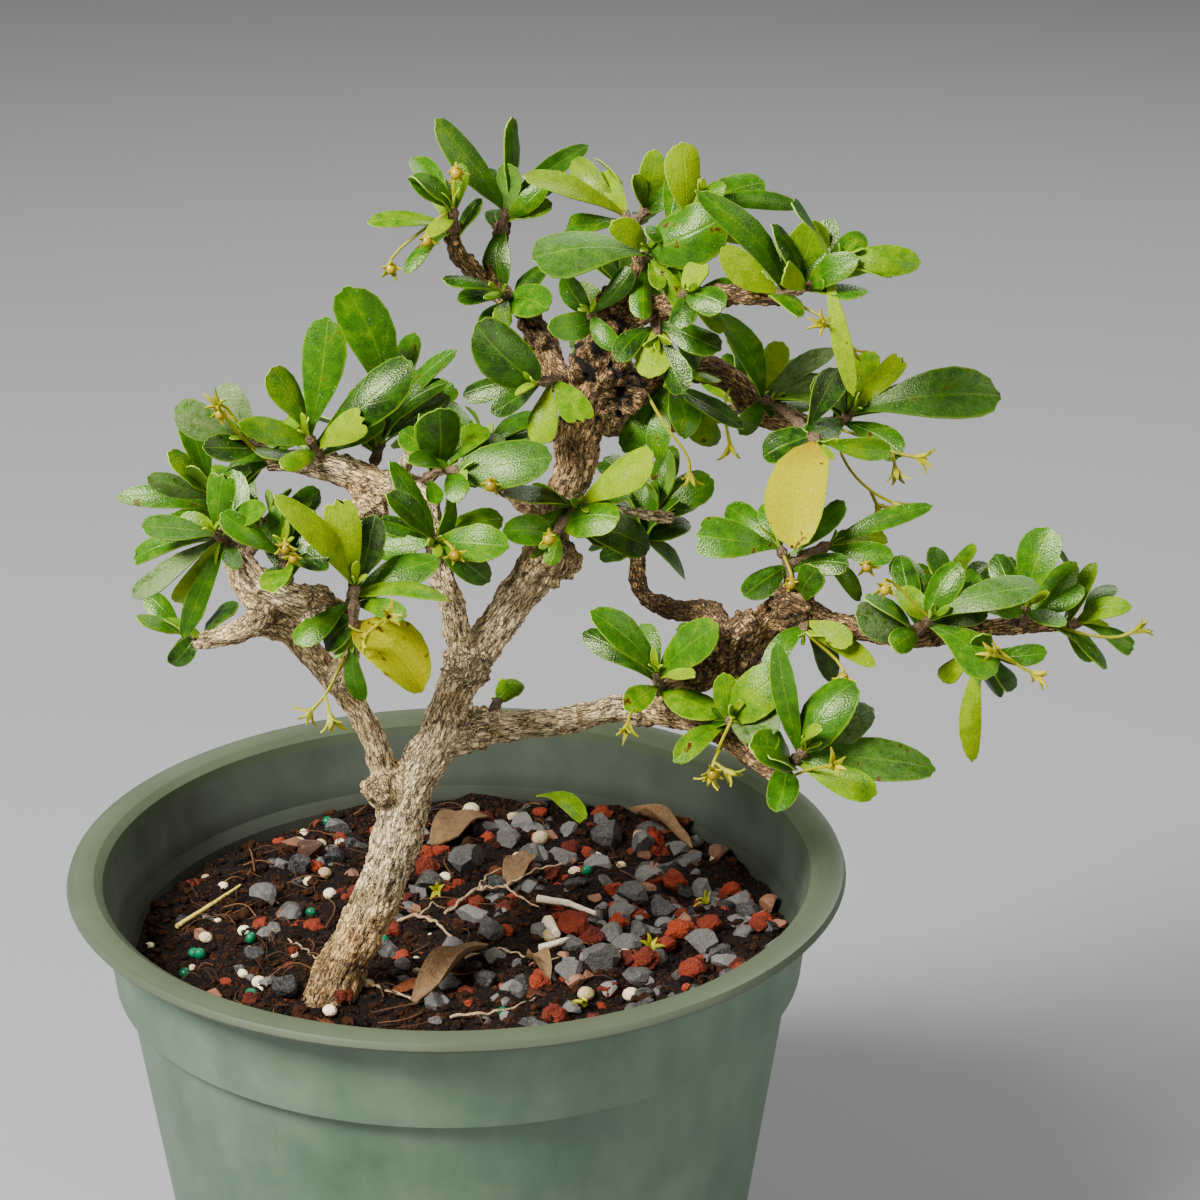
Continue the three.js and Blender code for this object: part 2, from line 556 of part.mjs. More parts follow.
      fill: 0,
    },
  ],
  centre_hub: [{
    twig: [[-36.6, 23, -10], [-32, 26, -14], [-28, 25.6, -17]],
    leaves: [
      [-10.2, 29, -4, 9.4], [-32.4, 38.6, 0, 9.2], [-36.6, 29, -7, 4.2], [-28.6, 20.6, -6, 5],
      [-22.4, 34, 7, 5.6],
    ],
    fill: 0,
  }],
  centre_low: [{
    twig: [[-33.6, 13, -13.4], [-33, 11.4, -21]],
    leaves: [
      [-18.8, 11.2, -5, 8], [-40.8, 27.4, -2, 5], [-42, 21, -7, 5.4], [-22, 3.6, 2, 6, 20],
    ],
    fill: 0,
  }],
  left_peak: [{
    twig: [[-46, 25, -5], [-44, 31, 2], [-42, 37.4, 6]],
    leaves: [
      [-51, 63, -3, 10], [-28.6, 50, -2, 5], [-33, 44.6, -6, 5.6], [-38.6, 54, 5, 5.4], [-30, 40.6, 4, 4.6],
    ],
    fill: 1,
  }],
  left_high: [{
    twig: [[-55, 27.4, -3.6], [-58.4, 32.8, -8]],
    leaves: [
      [-54.6, 56.4, 0, 8.6], [-40.8, 46.6, -5, 9.2], [-66, 46.4, -2, 6.4], [-48.2, 36.2, -6, 6, 20],
      [-71.8, 35.4, -5, 5], [-62.6, 27.6, -7, 4],
    ],
    fill: 1,
  }],
  left_outer: [{
    twig: [[-64.8, 27.8, -3], [-70, 32, -6]],
    leaves: [[-84.8, 38.6, -3, 7], [-76, 43, 5, 5.6], [-79.4, 30.6, -6, 5.4], [-63, 36, 6, 4.4]],
    fill: 1,
  }],
  left_side: [{
    twig: [[-76.2, 14, 1], [-78.4, 23, -1]],
    leaves: [
      [-82.4, 38.4, 3, 5.8], [-85.6, 29.6, -5, 6], [-96.6, 21.4, 0, 4.6], [-90, 24.6, -7, 4.4],
      [-86.4, 15.4, -7, 4.6],
    ],
    fill: 1,
  }],
  left_front: [{
    twig: [[-74, 11.4, -37.4], [-77, 13.6, -42]],
    leaves: [
      [-91.6, 15, -3, 6.2], [-93.8, 9.4, 2, 5.2], [-94, 1.2, -3, 5.4], [-83.4, -8, -2, 4], [-76, 24, -3, 5.4],
      [-66, 18, -5, 5],
    ],
    fill: 0,
  }],
  left_front_inner: [{
    twig: [[-62, 1.4, -40], [-63.6, 10, -45]],
    leaves: [
      [-64.6, 18.4, 0, 5], [-66, 2.4, -5, 5.6], [-56.4, 17.4, 4, 9], [-54, 8.6, -3, 5],
    ],
    fill: 0,
  }],
  left_centre_front: [
    {
      twig: [[-51, -5, -34], [-49, 3, -43]],
      leaves: [
        [-62.8, 20.6, -8, 5], [-51.4, 18.6, -2, 6.4], [-45.2, 16.6, 3, 5.4], [-31.6, 3, -3, 4.8],
        [-32.4, 8.6, 5, 7], [-38.4, -3.4, -5, 4],
      ],
      fill: 0,
    },
    {
      twig: [[-49, 3, -43], [-49.4, -6.8, -43]],
      leaves: [[-35.2, -18, -4, 12], [-54.6, -9, 2, 6.8], [-48.2, -21, 0, 4]],
      fill: 0,
    },
  ],
  left_stub: [{
    twig: [[-79, -8, -15], [-83.4, -6.6, -12]],
    leaves: [[-90.4, 1.4, 3, 4.6], [-93, -4, -4, 4.4], [-86, -13, -3, 4.4]],
    fill: 0,
  }],
  fork_sprout: [{ twig: [[-22, -24, -13], [-20.4, -20, -2]], leaves: [[-16, -16, 2, 6]], fill: 0 }],
  behind_centre: [
    {
      twig: [[8.4, 10, 32], [9, 14, 35]],
      leaves: [[0, 8, -3, 6], [-2.6, 12.6, 3, 6], [18, 16, 3, 6], [10, 24, 2, 6]],
      fill: 1,
    },
    { twig: [[9, 14, 35], [13, 20, 39]], leaves: [[22, 24, -3, 6], [14, 31, 3, 6]], fill: 2 },
  ],
  back_high_shoot: [
    { twig: [[7.6, 56, 34], [9, 62, 38]], leaves: [[19, 68, 2, 6], [0, 70, 3, 6]], fill: 3 },
    { twig: [[8.2, 59, 36], [1, 55, 40]], leaves: [[-6, 48, 2, 6]], fill: 2 },
  ],
  back_left_shoot: [
    { twig: [[-36.4, 33.4, 30], [-42, 36, 35]], leaves: [[-50, 42, 3, 6], [-36, 46, 3, 6]], fill: 3 },
  ],
  back_left_inner: [
    { twig: [[-24, 26, 20], [-22, 31, 27]], leaves: [[-14, 38, 4, 6], [-30, 40, 4, 5]], fill: 2 },
  ],
  back_right_shoot: [
    { twig: [[26, 37.6, 32], [31, 41, 36]], leaves: [[40, 46, 2, 6], [26, 50, 4, 5]], fill: 3 },
  ],
  right_back: [
    {
      twig: [[20, -14.6, -20], [24, -12, -8], [27, -9, -1]],
      leaves: [[38, -3, 3, 6], [20, 0, 5, 5]],
      fill: 3,
    },
  ],
  arm_back: [
    { twig: [[70, -6.4, -27], [69, -3, -16], [71, 0, -9]], leaves: [[80, 4, 3, 5], [62, 8, 5, 5]], fill: 3 },
  ],
  left_back: [
    {
      twig: [[-73, 6, -10], [-69, 11, 4], [-66, 17, 12]],
      leaves: [[-56, 22, 4, 5], [-72, 26, 4, 5]],
      fill: 3,
    },
  ],
};

const TWIG_RADIUS = 1.1;
const TWIG_SIDES = 3;
// Across a blade at each station: [how far along, half width as a share of the widest]
const BLADE_STATIONS = [[0, 0], [0.48, 0.84], [0.82, 0.88]];

/** The outline across a blade, flat above and keeled below, or the larger one that keeps clear of it. */
function bladeSection(half, grow) {
  if (!grow) return [[half, 0], [0, -BLADE_THICK], [-half, 0]];
  const edge = half + grow;
  return [[edge, grow], [edge, -grow], [0, -BLADE_THICK - grow], [-edge, -grow], [-edge, grow]];
}

/** One blade from its root to its tip, arched along its midrib. */
function blade(root, tip, wide, turn, grow) {
  const along = tip.clone().sub(root);
  const long = along.length();
  along.divideScalar(long);
  const face = EYE.clone().sub(root).normalize();
  face.z += FACE_TILT;
  face.addScaledVector(along, -face.dot(along)).normalize();
  face.applyAxisAngle(along, THREE.MathUtils.degToRad(turn));
  const side = along.clone().cross(face);
  const rings = BLADE_STATIONS.map(([share, spread]) => {
    const half = Math.max((spread * wide) / 2, ROOT_HALF_WIDTH);
    const rise = Math.sin(share * Math.PI) * long * BLADE_ARCH;
    return bladeSection(half, grow).map(([across, above]) => root.clone()
      .addScaledVector(along, share * long)
      .addScaledVector(side, across)
      .addScaledVector(face, above + rise));
  });
  return solidOf(loft(rings, tip.clone().addScaledVector(along, 2 * grow)));
}

/** The tips and widths of the leaves that fill a rosette's far side. */
function fillLeaves(bud, count, random) {
  return Array.from({ length: count }, (unused, index) => {
    const turn = THREE.MathUtils.degToRad(18 + ((index * 137.5 + random() * 30) % 144));
    const rise = 0.1 + random() * 0.5;
    const long = 11 + random() * 5;
    const tip = bud.clone().add(new THREE.Vector3(
      Math.cos(turn) * Math.cos(rise) * long,
      Math.sin(turn) * Math.cos(rise) * long,
      Math.sin(rise) * long,
    ));
    return { tip, wide: long * (0.36 + random() * 0.1), turn: 0 };
  });
}

/** The places of a rosette's leaves on its twig, in a spiral down from the twig's end. */
function leafRoots(twig, count) {
  const points = twig.map(([right, up, back]) => seen(right, up, back));
  const path = new THREE.CurvePath();
  for (let index = points.length - 1; index > 0; index -= 1) {
    path.add(new THREE.LineCurve3(points[index], points[index - 1]));
  }
  const spacing = Math.min(LEAF_SPACING, (path.getLength() * 0.8) / count);
  return Array.from({ length: count }, (unused, index) => (
    path.getPointAt((0.3 + index * spacing) / path.getLength())
  ));
}

/** A shoot: twigs and leaves in one body. */
function shootSolid(rosettes, seed, grow) {
  const random = seeded(seed);
  const parts = rosettes.flatMap(({ twig, leaves, fill }) => {
    const [right, up, back] = twig[twig.length - 1];
    const bud = seen(right, up, back);
    const tips = leaves.map(([tipRight, tipUp, lean, wide, turn]) => {
      const roll = (random() * 2 - 1) * LEAF_ROLL;
      return { tip: seen(tipRight, tipUp, back + lean), wide, turn: turn ?? roll };
    });
    const before = seen(...twig[twig.length - 2]);
    const outward = bud.clone().sub(before).normalize();
    const all = [...tips, ...fillLeaves(bud, fill, random)]
      .sort((one, other) => other.tip.dot(outward) - one.tip.dot(outward));
    const roots = leafRoots(twig, all.length);
    const blades = all.map(({ tip, wide, turn }, index) => blade(roots[index], tip, wide, turn, grow));
    return [stem(twig.map((place) => [...place, TWIG_RADIUS]), TWIG_SIDES, grow), ...blades];
  });
  return wasm.Manifold.union(parts);
}

// The fruit

// A stalk lists the places that it passes, the first of them inside the wood. It forks at the last one when
// there are two ends. On each end stands a dry star-shaped calyx with a small drupe in it.
const FRUITS = {
  long_stalk: {
    stalk: [[9, 43, 6], [10.6, 39, -5], [14, 33.6, -8], [17.6, 28.4, -8]],
    ends: [[18, 25.4, -8]],
  },
  high_tip: {
    stalk: [[36, 60.4, -18], [43, 57.4, -25], [48, 54, -26]],
    ends: [[49.8, 50.8, -26], [45, 55, -29]],
  },
  middle: { stalk: [[26.4, 43.6, 13], [25, 38, 3], [25.4, 34, 1]], ends: [[26, 31, 1]] },
  middle_tip: {
    stalk: [[47, 34, 5], [49.4, 27, -3], [54, 22, -6]],
    ends: [[58.6, 19.4, -7], [55.4, 19, -4]],
  },
  middle_end: {
    stalk: [[46.6, 34.6, 5], [54, 32, -2], [58.6, 29.6, -6]],
    ends: [[63.2, 28.6, -7], [59, 26.6, -7]],
  },
  arm: {
    stalk: [[78, -5.4, -25.6], [79, -9, -33], [83, -12.6, -35]],
    ends: [[86.4, -14.6, -35], [79.4, -11, -38]],
  },
  arm_tip: { stalk: [[91, -5, -22], [98, -7, -28], [103.4, -7.4, -28]], ends: [[106.6, -6.4, -28]] },
  low_left: { stalk: [[8, -21.4, -17], [6.6, -22.4, -24], [6, -23, -26]], ends: [[5.6, -24.8, -28]] },
  low_tip: { stalk: [[38, -35.4, -36], [43, -33.6, -44], [45, -33.4, -47]], ends: [[46.4, -33.2, -50]] },
  left_low: {
    stalk: [[-50.8, -10.6, -28], [-52.6, -14.6, -37], [-55, -19, -38]],
    ends: [[-57.6, -22, -38], [-54, -23, -40]],
  },
  left_middle: {
    stalk: [[-51.4, -4, -34], [-47, -4.4, -40], [-44, -4.4, -47]],
    ends: [[-42.6, -3.6, -50], [-46.4, -6.6, -49]],
  },
  left_high: { stalk: [[-66, 27.4, -3], [-72, 33, -12], [-75, 36.6, -15]], ends: [[-76.2, 38.4, -17]] },
};
const STALK_RADIUS = 0.45;
const STALK_SIDES = 3;
const SEPALS = 5;
const SEPAL_LONG = 3.2;
const DRUPE_RADIUS = 1.3;

/** A dry calyx that opens away from its stalk round the bulge of its drupe. */
function calyxSolid(centre, out, grow) {
  const first = new THREE.Vector3(0.3, 0.2, 0.9).cross(out).normalize();
  const second = out.clone().cross(first);
  const rim = Array.from({ length: SEPALS * 2 }, (unused, index) => {
    const turn = (index / SEPALS) * Math.PI;
    const isTip = index % 2 === 0;
    const radius = (isTip ? SEPAL_LONG : DRUPE_RADIUS) + grow;
    return centre.clone()
      .addScaledVector(first, Math.cos(turn) * radius)
      .addScaledVector(second, Math.sin(turn) * radius)
      .addScaledVector(out, DRUPE_RADIUS * 0.7);
  });
  const front = centre.clone().addScaledVector(out, DRUPE_RADIUS * 1.6 + grow);
  const rear = centre.clone().addScaledVector(out, -grow - 0.6);
  const triangles = rim.flatMap((unused, index) => {
    const next = (index + 1) % rim.length;
    return [[index, next, rim.length], [next, index, rim.length + 1]];
  });
  return solidOf(shell([...rim, front, rear], triangles));
}

/** A bunch: its stalk, the stalk's forks and a calyx at the end of each. */
function fruitSolid({ stalk, ends }, grow) {
  const fork = stalk[stalk.length - 1];
  const parts = ends.flatMap((end, index) => {
    const out = seen(...end).sub(seen(...fork)).normalize();
    const places = index ? [fork, end] : [...stalk, end];
    return [
      stem(places.map((place) => [...place, STALK_RADIUS]), STALK_SIDES, grow),
      calyxSolid(seen(...end), out, grow),
    ];
  });
  return wasm.Manifold.union(parts);
}

/** Whether two solids' boxes meet. */
function boxesMeet(one, other) {
  const a = one.boundingBox();
  const b = other.boundingBox();
  return [0, 1, 2].every((axis) => a.min[axis] < b.max[axis] && b.min[axis] < a.max[axis]);
}

/** A solid cut clear of what stands before it, with its loose scraps dropped. */
function cutClear(solid, blockers) {
  const near = blockers.filter((blocker) => boxesMeet(blocker, solid));
  return near.length ? largestBody(solid.subtract(wasm.Manifold.union(near))) : largestBody(solid);
}

// The whole

const FINISHES = {
  pot: { color: 0x6d8c74, roughness: 0.5, metalness: 0 },
  soil: { color: 0x3a2a20, roughness: 0.95, metalness: 0 },
  wood: { color: 0xb7a58a, roughness: 0.85, metalness: 0 },
  leaf: { color: 0x4f8f34, roughness: 0.35, metalness: 0 },
  fruit: { color: 0xc9b53c, roughness: 0.6, metalness: 0 },
};

const wood = woodSolid(0);
const woodClear = woodSolid(GAP);
const tree = new THREE.Group();
tree.add(meshOf('pot', potSolid(), FINISHES.pot));
tree.add(meshOf('soil', soilSolid().subtract(woodClear), FINISHES.soil));
tree.add(meshOf('trunk_and_branches', wood, FINISHES.wood));

const blockers = [woodClear];
Object.entries(FRUITS).forEach(([name, fruit]) => {
  tree.add(meshOf(`fruit_${name}`, cutClear(fruitSolid(fruit, 0), blockers), FINISHES.fruit));
  blockers.push(fruitSolid(fruit, GAP));
});
Object.entries(SHOOTS).forEach(([name, rosettes], index) => {
  const shoot = cutClear(shootSolid(rosettes, index + 1, 0), blockers);
  tree.add(meshOf(`shoot_${name}`, shoot, FINISHES.leaf));
  blockers.push(shootSolid(rosettes, index + 1, GAP));
});

export default tree;
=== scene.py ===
"""A fukien tea bonsai in its nursery pot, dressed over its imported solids.

Metres, +Z up, the front towards -Y. Sizes are written in millimetres and turned to metres where they are used.
The tree's places are given as they are seen from the front: right, up and back. Right and up are measured on
the plane that faces the eye through the middle of the pot's rim, and back is the real depth along +Y.
"""

import logging
import math
from collections.abc import Callable, Iterable, Sequence
from dataclasses import dataclass, field
from enum import Enum
from functools import partial

import bpy
import numpy as np
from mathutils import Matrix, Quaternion, Vector, noise

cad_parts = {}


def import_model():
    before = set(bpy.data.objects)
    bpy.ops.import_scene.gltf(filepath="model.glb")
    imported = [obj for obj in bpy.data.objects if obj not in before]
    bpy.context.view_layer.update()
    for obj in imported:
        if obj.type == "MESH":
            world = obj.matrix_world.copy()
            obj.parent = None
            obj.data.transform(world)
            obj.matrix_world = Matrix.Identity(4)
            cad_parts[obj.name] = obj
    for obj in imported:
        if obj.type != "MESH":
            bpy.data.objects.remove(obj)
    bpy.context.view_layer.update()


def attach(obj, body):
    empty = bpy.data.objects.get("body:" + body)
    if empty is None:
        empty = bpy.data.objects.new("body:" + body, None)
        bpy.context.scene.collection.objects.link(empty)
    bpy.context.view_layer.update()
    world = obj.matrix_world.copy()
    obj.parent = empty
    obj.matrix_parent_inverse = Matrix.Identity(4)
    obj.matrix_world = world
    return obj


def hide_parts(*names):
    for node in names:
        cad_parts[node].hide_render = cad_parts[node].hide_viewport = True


log = logging.getLogger("bonsai")

Place = tuple[float, ...]
Where = Callable[[Vector], bool]
Strand = tuple[tuple[Place, ...], float]
Step = tuple[Callable[..., object], dict]
Draw = Callable[[], float]
AddNode = Callable[..., bpy.types.NodeSocket]
Inputs = dict[str | int, object]

MM = 0.001
# The turn, in radians, from each leaf or bud to the next
GOLDEN_ANGLE = 2.39996
# Where a Mix node has its sockets for mixing colours
COLOUR_MIX_INPUTS = (0, 6, 7)
COLOUR_MIX_OUTPUT = 2

# The eye that the tree's places are seen from, and the camera that stands there
EYE = Vector((28.4, -588.4, 394.9)) * MM
VIEW_DISTANCE = 650 * MM
VIEW_TILT = math.radians(21)
CAMERA_LENS = 97.5
CAMERA_SENSOR = 36.0
VIEW_ALONG = Vector((0, math.cos(VIEW_TILT), -math.sin(VIEW_TILT)))
VIEW_UP = Vector((0, math.sin(VIEW_TILT), math.cos(VIEW_TILT)))
ZENITH = Vector((0, 0, 1))


def seeded(seed: int) -> Draw:
    """Makes a generator of numbers from 0 to 1, the same that the solids' leaves are drawn with.

    Args:
        seed: Any whole number.

    Returns:
        A function that gives the next number.
    """
    full = 0xFFFFFFFF
    state = seed

    def draw() -> float:
        """Gives the next number."""
        nonlocal state
        state = (state + 0x6D2B79F5) & full
        mixed = ((state ^ (state >> 15)) * (1 | state)) & full
        mixed = ((mixed + ((mixed ^ (mixed >> 7)) * (61 | mixed))) & full) ^ mixed
        return ((mixed ^ (mixed >> 14)) & full) / 4294967296

    return draw


def sight(right: float, up: float) -> Vector:
    """The eye's line to a place seen at right and up, in millimetres."""
    return VIEW_ALONG * VIEW_DISTANCE + VIEW_UP * (up * MM) + Vector((right * MM, 0, 0))


def seen(right: float, up: float, back: float) -> Vector:
    """The real point, in metres, that is seen at right and up, at the depth back, all in millimetres."""
    ray = sight(right, up)
    return EYE + ray * ((back * MM - EYE.y) / ray.y)


def linear(colour: str) -> tuple[float, float, float, float]:
    """Turns an sRGB hex value such as "#6d8c74" to linear light with full alpha."""
    parts = [int(colour[start:start + 2], 16) / 255 for start in (1, 3, 5)]
    light = [part / 12.92 if part <= 0.04045 else ((part + 0.055) / 1.055) ** 2.4 for part in parts]
    return (*light, 1.0)


def fill(node: bpy.types.Node, inputs: Inputs) -> None:
    """Sets or links a node's inputs. A colour may be given as its sRGB hex value."""
    for name, value in inputs.items():
        if isinstance(value, bpy.types.NodeSocket):
            node.id_data.links.new(value, node.inputs[name])
        else:
            node.inputs[name].default_value = linear(value) if isinstance(value, str) else value


def add_node(
    tree: bpy.types.NodeTree, kind: str, inputs: Inputs | tuple, out: str | int = 0, **settings: object
) -> bpy.types.NodeSocket:
    """Adds a node with its settings, and fills or links its inputs.

    Args:
        tree: The material's node tree.
        kind: The node's type, without the word ShaderNode.
        inputs: A value, a hex colour or another node's output for each input, by name, or in order. A Mix has
            its share and its two colours, and a MapRange its value, the range that it is from and the one that
            it is turned to.
        out: The output that is wanted, by name or number.
        settings: The node's own settings.

    Returns:
        That output.
    """
    made = tree.nodes.new(f"ShaderNode{kind}")
    order = range(len(inputs))
    if kind == "Mix":
        made.data_type, order, out = "RGBA", COLOUR_MIX_INPUTS, COLOUR_MIX_OUTPUT
    for name, value in settings.items():
        setattr(made, name, value)
    fill(made, inputs if isinstance(inputs, dict) else dict(zip(order, inputs)))
    return made.outputs[out]


def start_material(name: str) -> tuple[bpy.types.Material, bpy.types.Node, AddNode]:
    """Starts a material.

    Args:
        name: What it is made of.

    Returns:
        The material, its shader, and the function that adds a node to it.
    """
    made = bpy.data.materials.new(name)
    made.use_nodes = True
    return made, made.node_tree.nodes["Principled BSDF"], partial(add_node, made.node_tree)


def pick(*pieces: bpy.types.Object) -> None:
    """Selects the pieces and nothing else, and makes the first of them active."""
    if bpy.context.object and bpy.context.object.mode != "OBJECT":
        bpy.ops.object.mode_set(mode="OBJECT")
    bpy.ops.object.select_all(action="DESELECT")
    for piece in pieces:
        piece.select_set(True)
    bpy.context.view_layer.objects.active = pieces[0] if pieces else None


def add(operator: Callable[..., object], name: str, **settings: object) -> bpy.types.Object:
    """Adds a primitive with nothing else selected, and names it.

    Args:
        operator: The operator that adds it.
        name: The new object's name.
        settings: The operator's settings.

    Returns:
        The new object, with its place in its mesh.
    """
    pick()
    operator(**settings)
    piece = bpy.context.object
    piece.name = name
    bpy.ops.object.transform_apply(location=True, rotation=True, scale=True)
    return piece


def grid(name: str, across: int, along: int) -> bpy.types.Object:
    """Adds a unit sheet that runs from the origin along +Y, for a leaf or sepal to be shaped from."""
    return add(
        bpy.ops.mesh.primitive_grid_add, name, x_subdivisions=across, y_subdivisions=along, size=1,
        location=(0, 0.5, 0),
    )


def edit(piece: bpy.types.Object, where: Where | None, *steps: Step) -> None:
    """Runs edit-mode operators on the points that are chosen by their place.

    Args:
        piece: The mesh object.
        where: Says which points are selected first. None selects all.
        steps: Each an operator and its settings.
    """
    pick(piece)
    bpy.ops.object.mode_set(mode="EDIT")
    bpy.ops.mesh.select_mode(type="VERT")
    bpy.ops.mesh.select_all(action="DESELECT" if where else "SELECT")
    if where:
        bpy.ops.object.mode_set(mode="OBJECT")
        for vertex in piece.data.vertices:
            vertex.select = where(vertex.co)
        bpy.ops.object.mode_set(mode="EDIT")
    for operator, settings in steps:
        operator(**settings)
    bpy.ops.object.mode_set(mode="OBJECT")


def apply(piece: bpy.types.Object, kind: str, **settings: object) -> None:
    """Gives a piece a modifier with its settings and applies it."""
    pick(piece)
    modifier = piece.modifiers.new(kind.lower(), kind)
    for name, value in settings.items():
        setattr(modifier, name, value)
    bpy.ops.object.modifier_apply(modifier=modifier.name)


def join(pieces: Sequence[bpy.types.Object], name: str) -> bpy.types.Object:
    """Joins pieces into one object.

    Args:
        pieces: The pieces.
        name: The name of what they become.

    Returns:
        That object.
    """
    pick(*pieces)
    if len(pieces) > 1:
        bpy.ops.object.join()
    joined = bpy.context.object
    joined.name = name
    joined.data.name = name
    return joined


def points_of(piece: bpy.types.Object) -> np.ndarray:
    """The piece's points as rows of x, y and z."""
    found = np.empty(len(piece.data.vertices) * 3, np.float32)
    piece.data.vertices.foreach_get("co", found)
    return found.reshape(-1, 3).astype(float)


def set_points(piece: bpy.types.Object, points: np.ndarray) -> None:
    """Moves the piece's points to the given rows of x, y and z."""
    piece.data.vertices.foreach_set("co", points.astype(np.float32).ravel())
    piece.data.update()


def copy_at(model: bpy.types.Object, points: np.ndarray) -> bpy.types.Object:
    """Copies a model with a mesh of its own, its points moved to the given places."""
    copy = bpy.data.objects.new(model.name, model.data.copy())
    bpy.context.scene.collection.objects.link(copy)
    set_points(copy, points)
    return copy


def discard(pieces: Iterable[bpy.types.Object]) -> None:
    """Removes models that only their copies are needed of."""
    for piece in list(pieces):
        bpy.data.objects.remove(piece)


def dress(piece: bpy.types.Object, finish: bpy.types.Material) -> None:
    """Makes a material the piece's only one."""
    piece.data.materials.clear()
    piece.data.materials.append(finish)


def paint(piece: bpy.types.Object, name: str, values: np.ndarray | float) -> None:
    """Stores numbers on a piece's points for the materials to read.

    Args:
        piece: The piece.
        name: What the materials call them.
        values: One, three or four numbers for each point, or one number for them all.
    """
    if np.ndim(values) == 0:
        values = np.full(len(piece.data.vertices), values)
    width = 1 if values.ndim == 1 else values.shape[1]
    kind, slot = {1: ("FLOAT", "value"), 3: ("FLOAT_VECTOR", "vector"), 4: ("FLOAT_COLOR", "color")}[width]
    layer = piece.data.attributes.new(name, kind, "POINT")
    layer.data.foreach_set(slot, values.astype(np.float32).ravel())


def wire(places: Sequence[Vector], radii: Sequence[float], name: str, sides: int = 2) -> bpy.types.Object:
    """Makes a round, closed stem along smooth curves through its places.

    Args:
        places: The points that its middle passes, in metres.
        radii: Its radius at each, in metres.
        name: The new object's name.
        sides: How finely it is rounded.

    Returns:
        The stem as a mesh.
    """
    pick()
    bpy.ops.curve.primitive_bezier_curve_add()
    stem = bpy.context.object
    shape = stem.data
    shape.bevel_depth = 1.0
    shape.bevel_resolution = sides
    shape.resolution_u = 4
    shape.use_fill_caps = True
    points = shape.splines[0].bezier_points
    points.add(len(places) - len(points))
    for point, place, radius in zip(points, places, radii):
        point.co = place
        point.radius = radius
        point.handle_left_type = point.handle_right_type = "AUTO"
    bpy.ops.object.convert(target="MESH")
    stem = bpy.context.object
    stem.name = name
    edit(stem, None, (bpy.ops.mesh.remove_doubles, {"threshold": 1e-6}))
    return stem


def finish_piece(piece: bpy.types.Object, slot: str, *nodes: str, smooth: float | None = 40) -> None:
    """Smooths a finished piece, ties it to the body, and hides the solids that it stands for.

    Args:
        piece: The finished object.
        slot: The record's material slot. It is not used.
        nodes: The solids that it stands for.
        smooth: The largest angle, in degrees, that is shaded smooth. None keeps its faces as they are.
    """
    pick(piece)
    if smooth is not None:
        bpy.ops.object.shade_smooth_by_angle(angle=math.radians(smooth))
    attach(piece, "root")
    if nodes:
        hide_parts(*nodes)
    log.info("%s: %d faces", piece.name, len(piece.data.polygons))


# Finishes


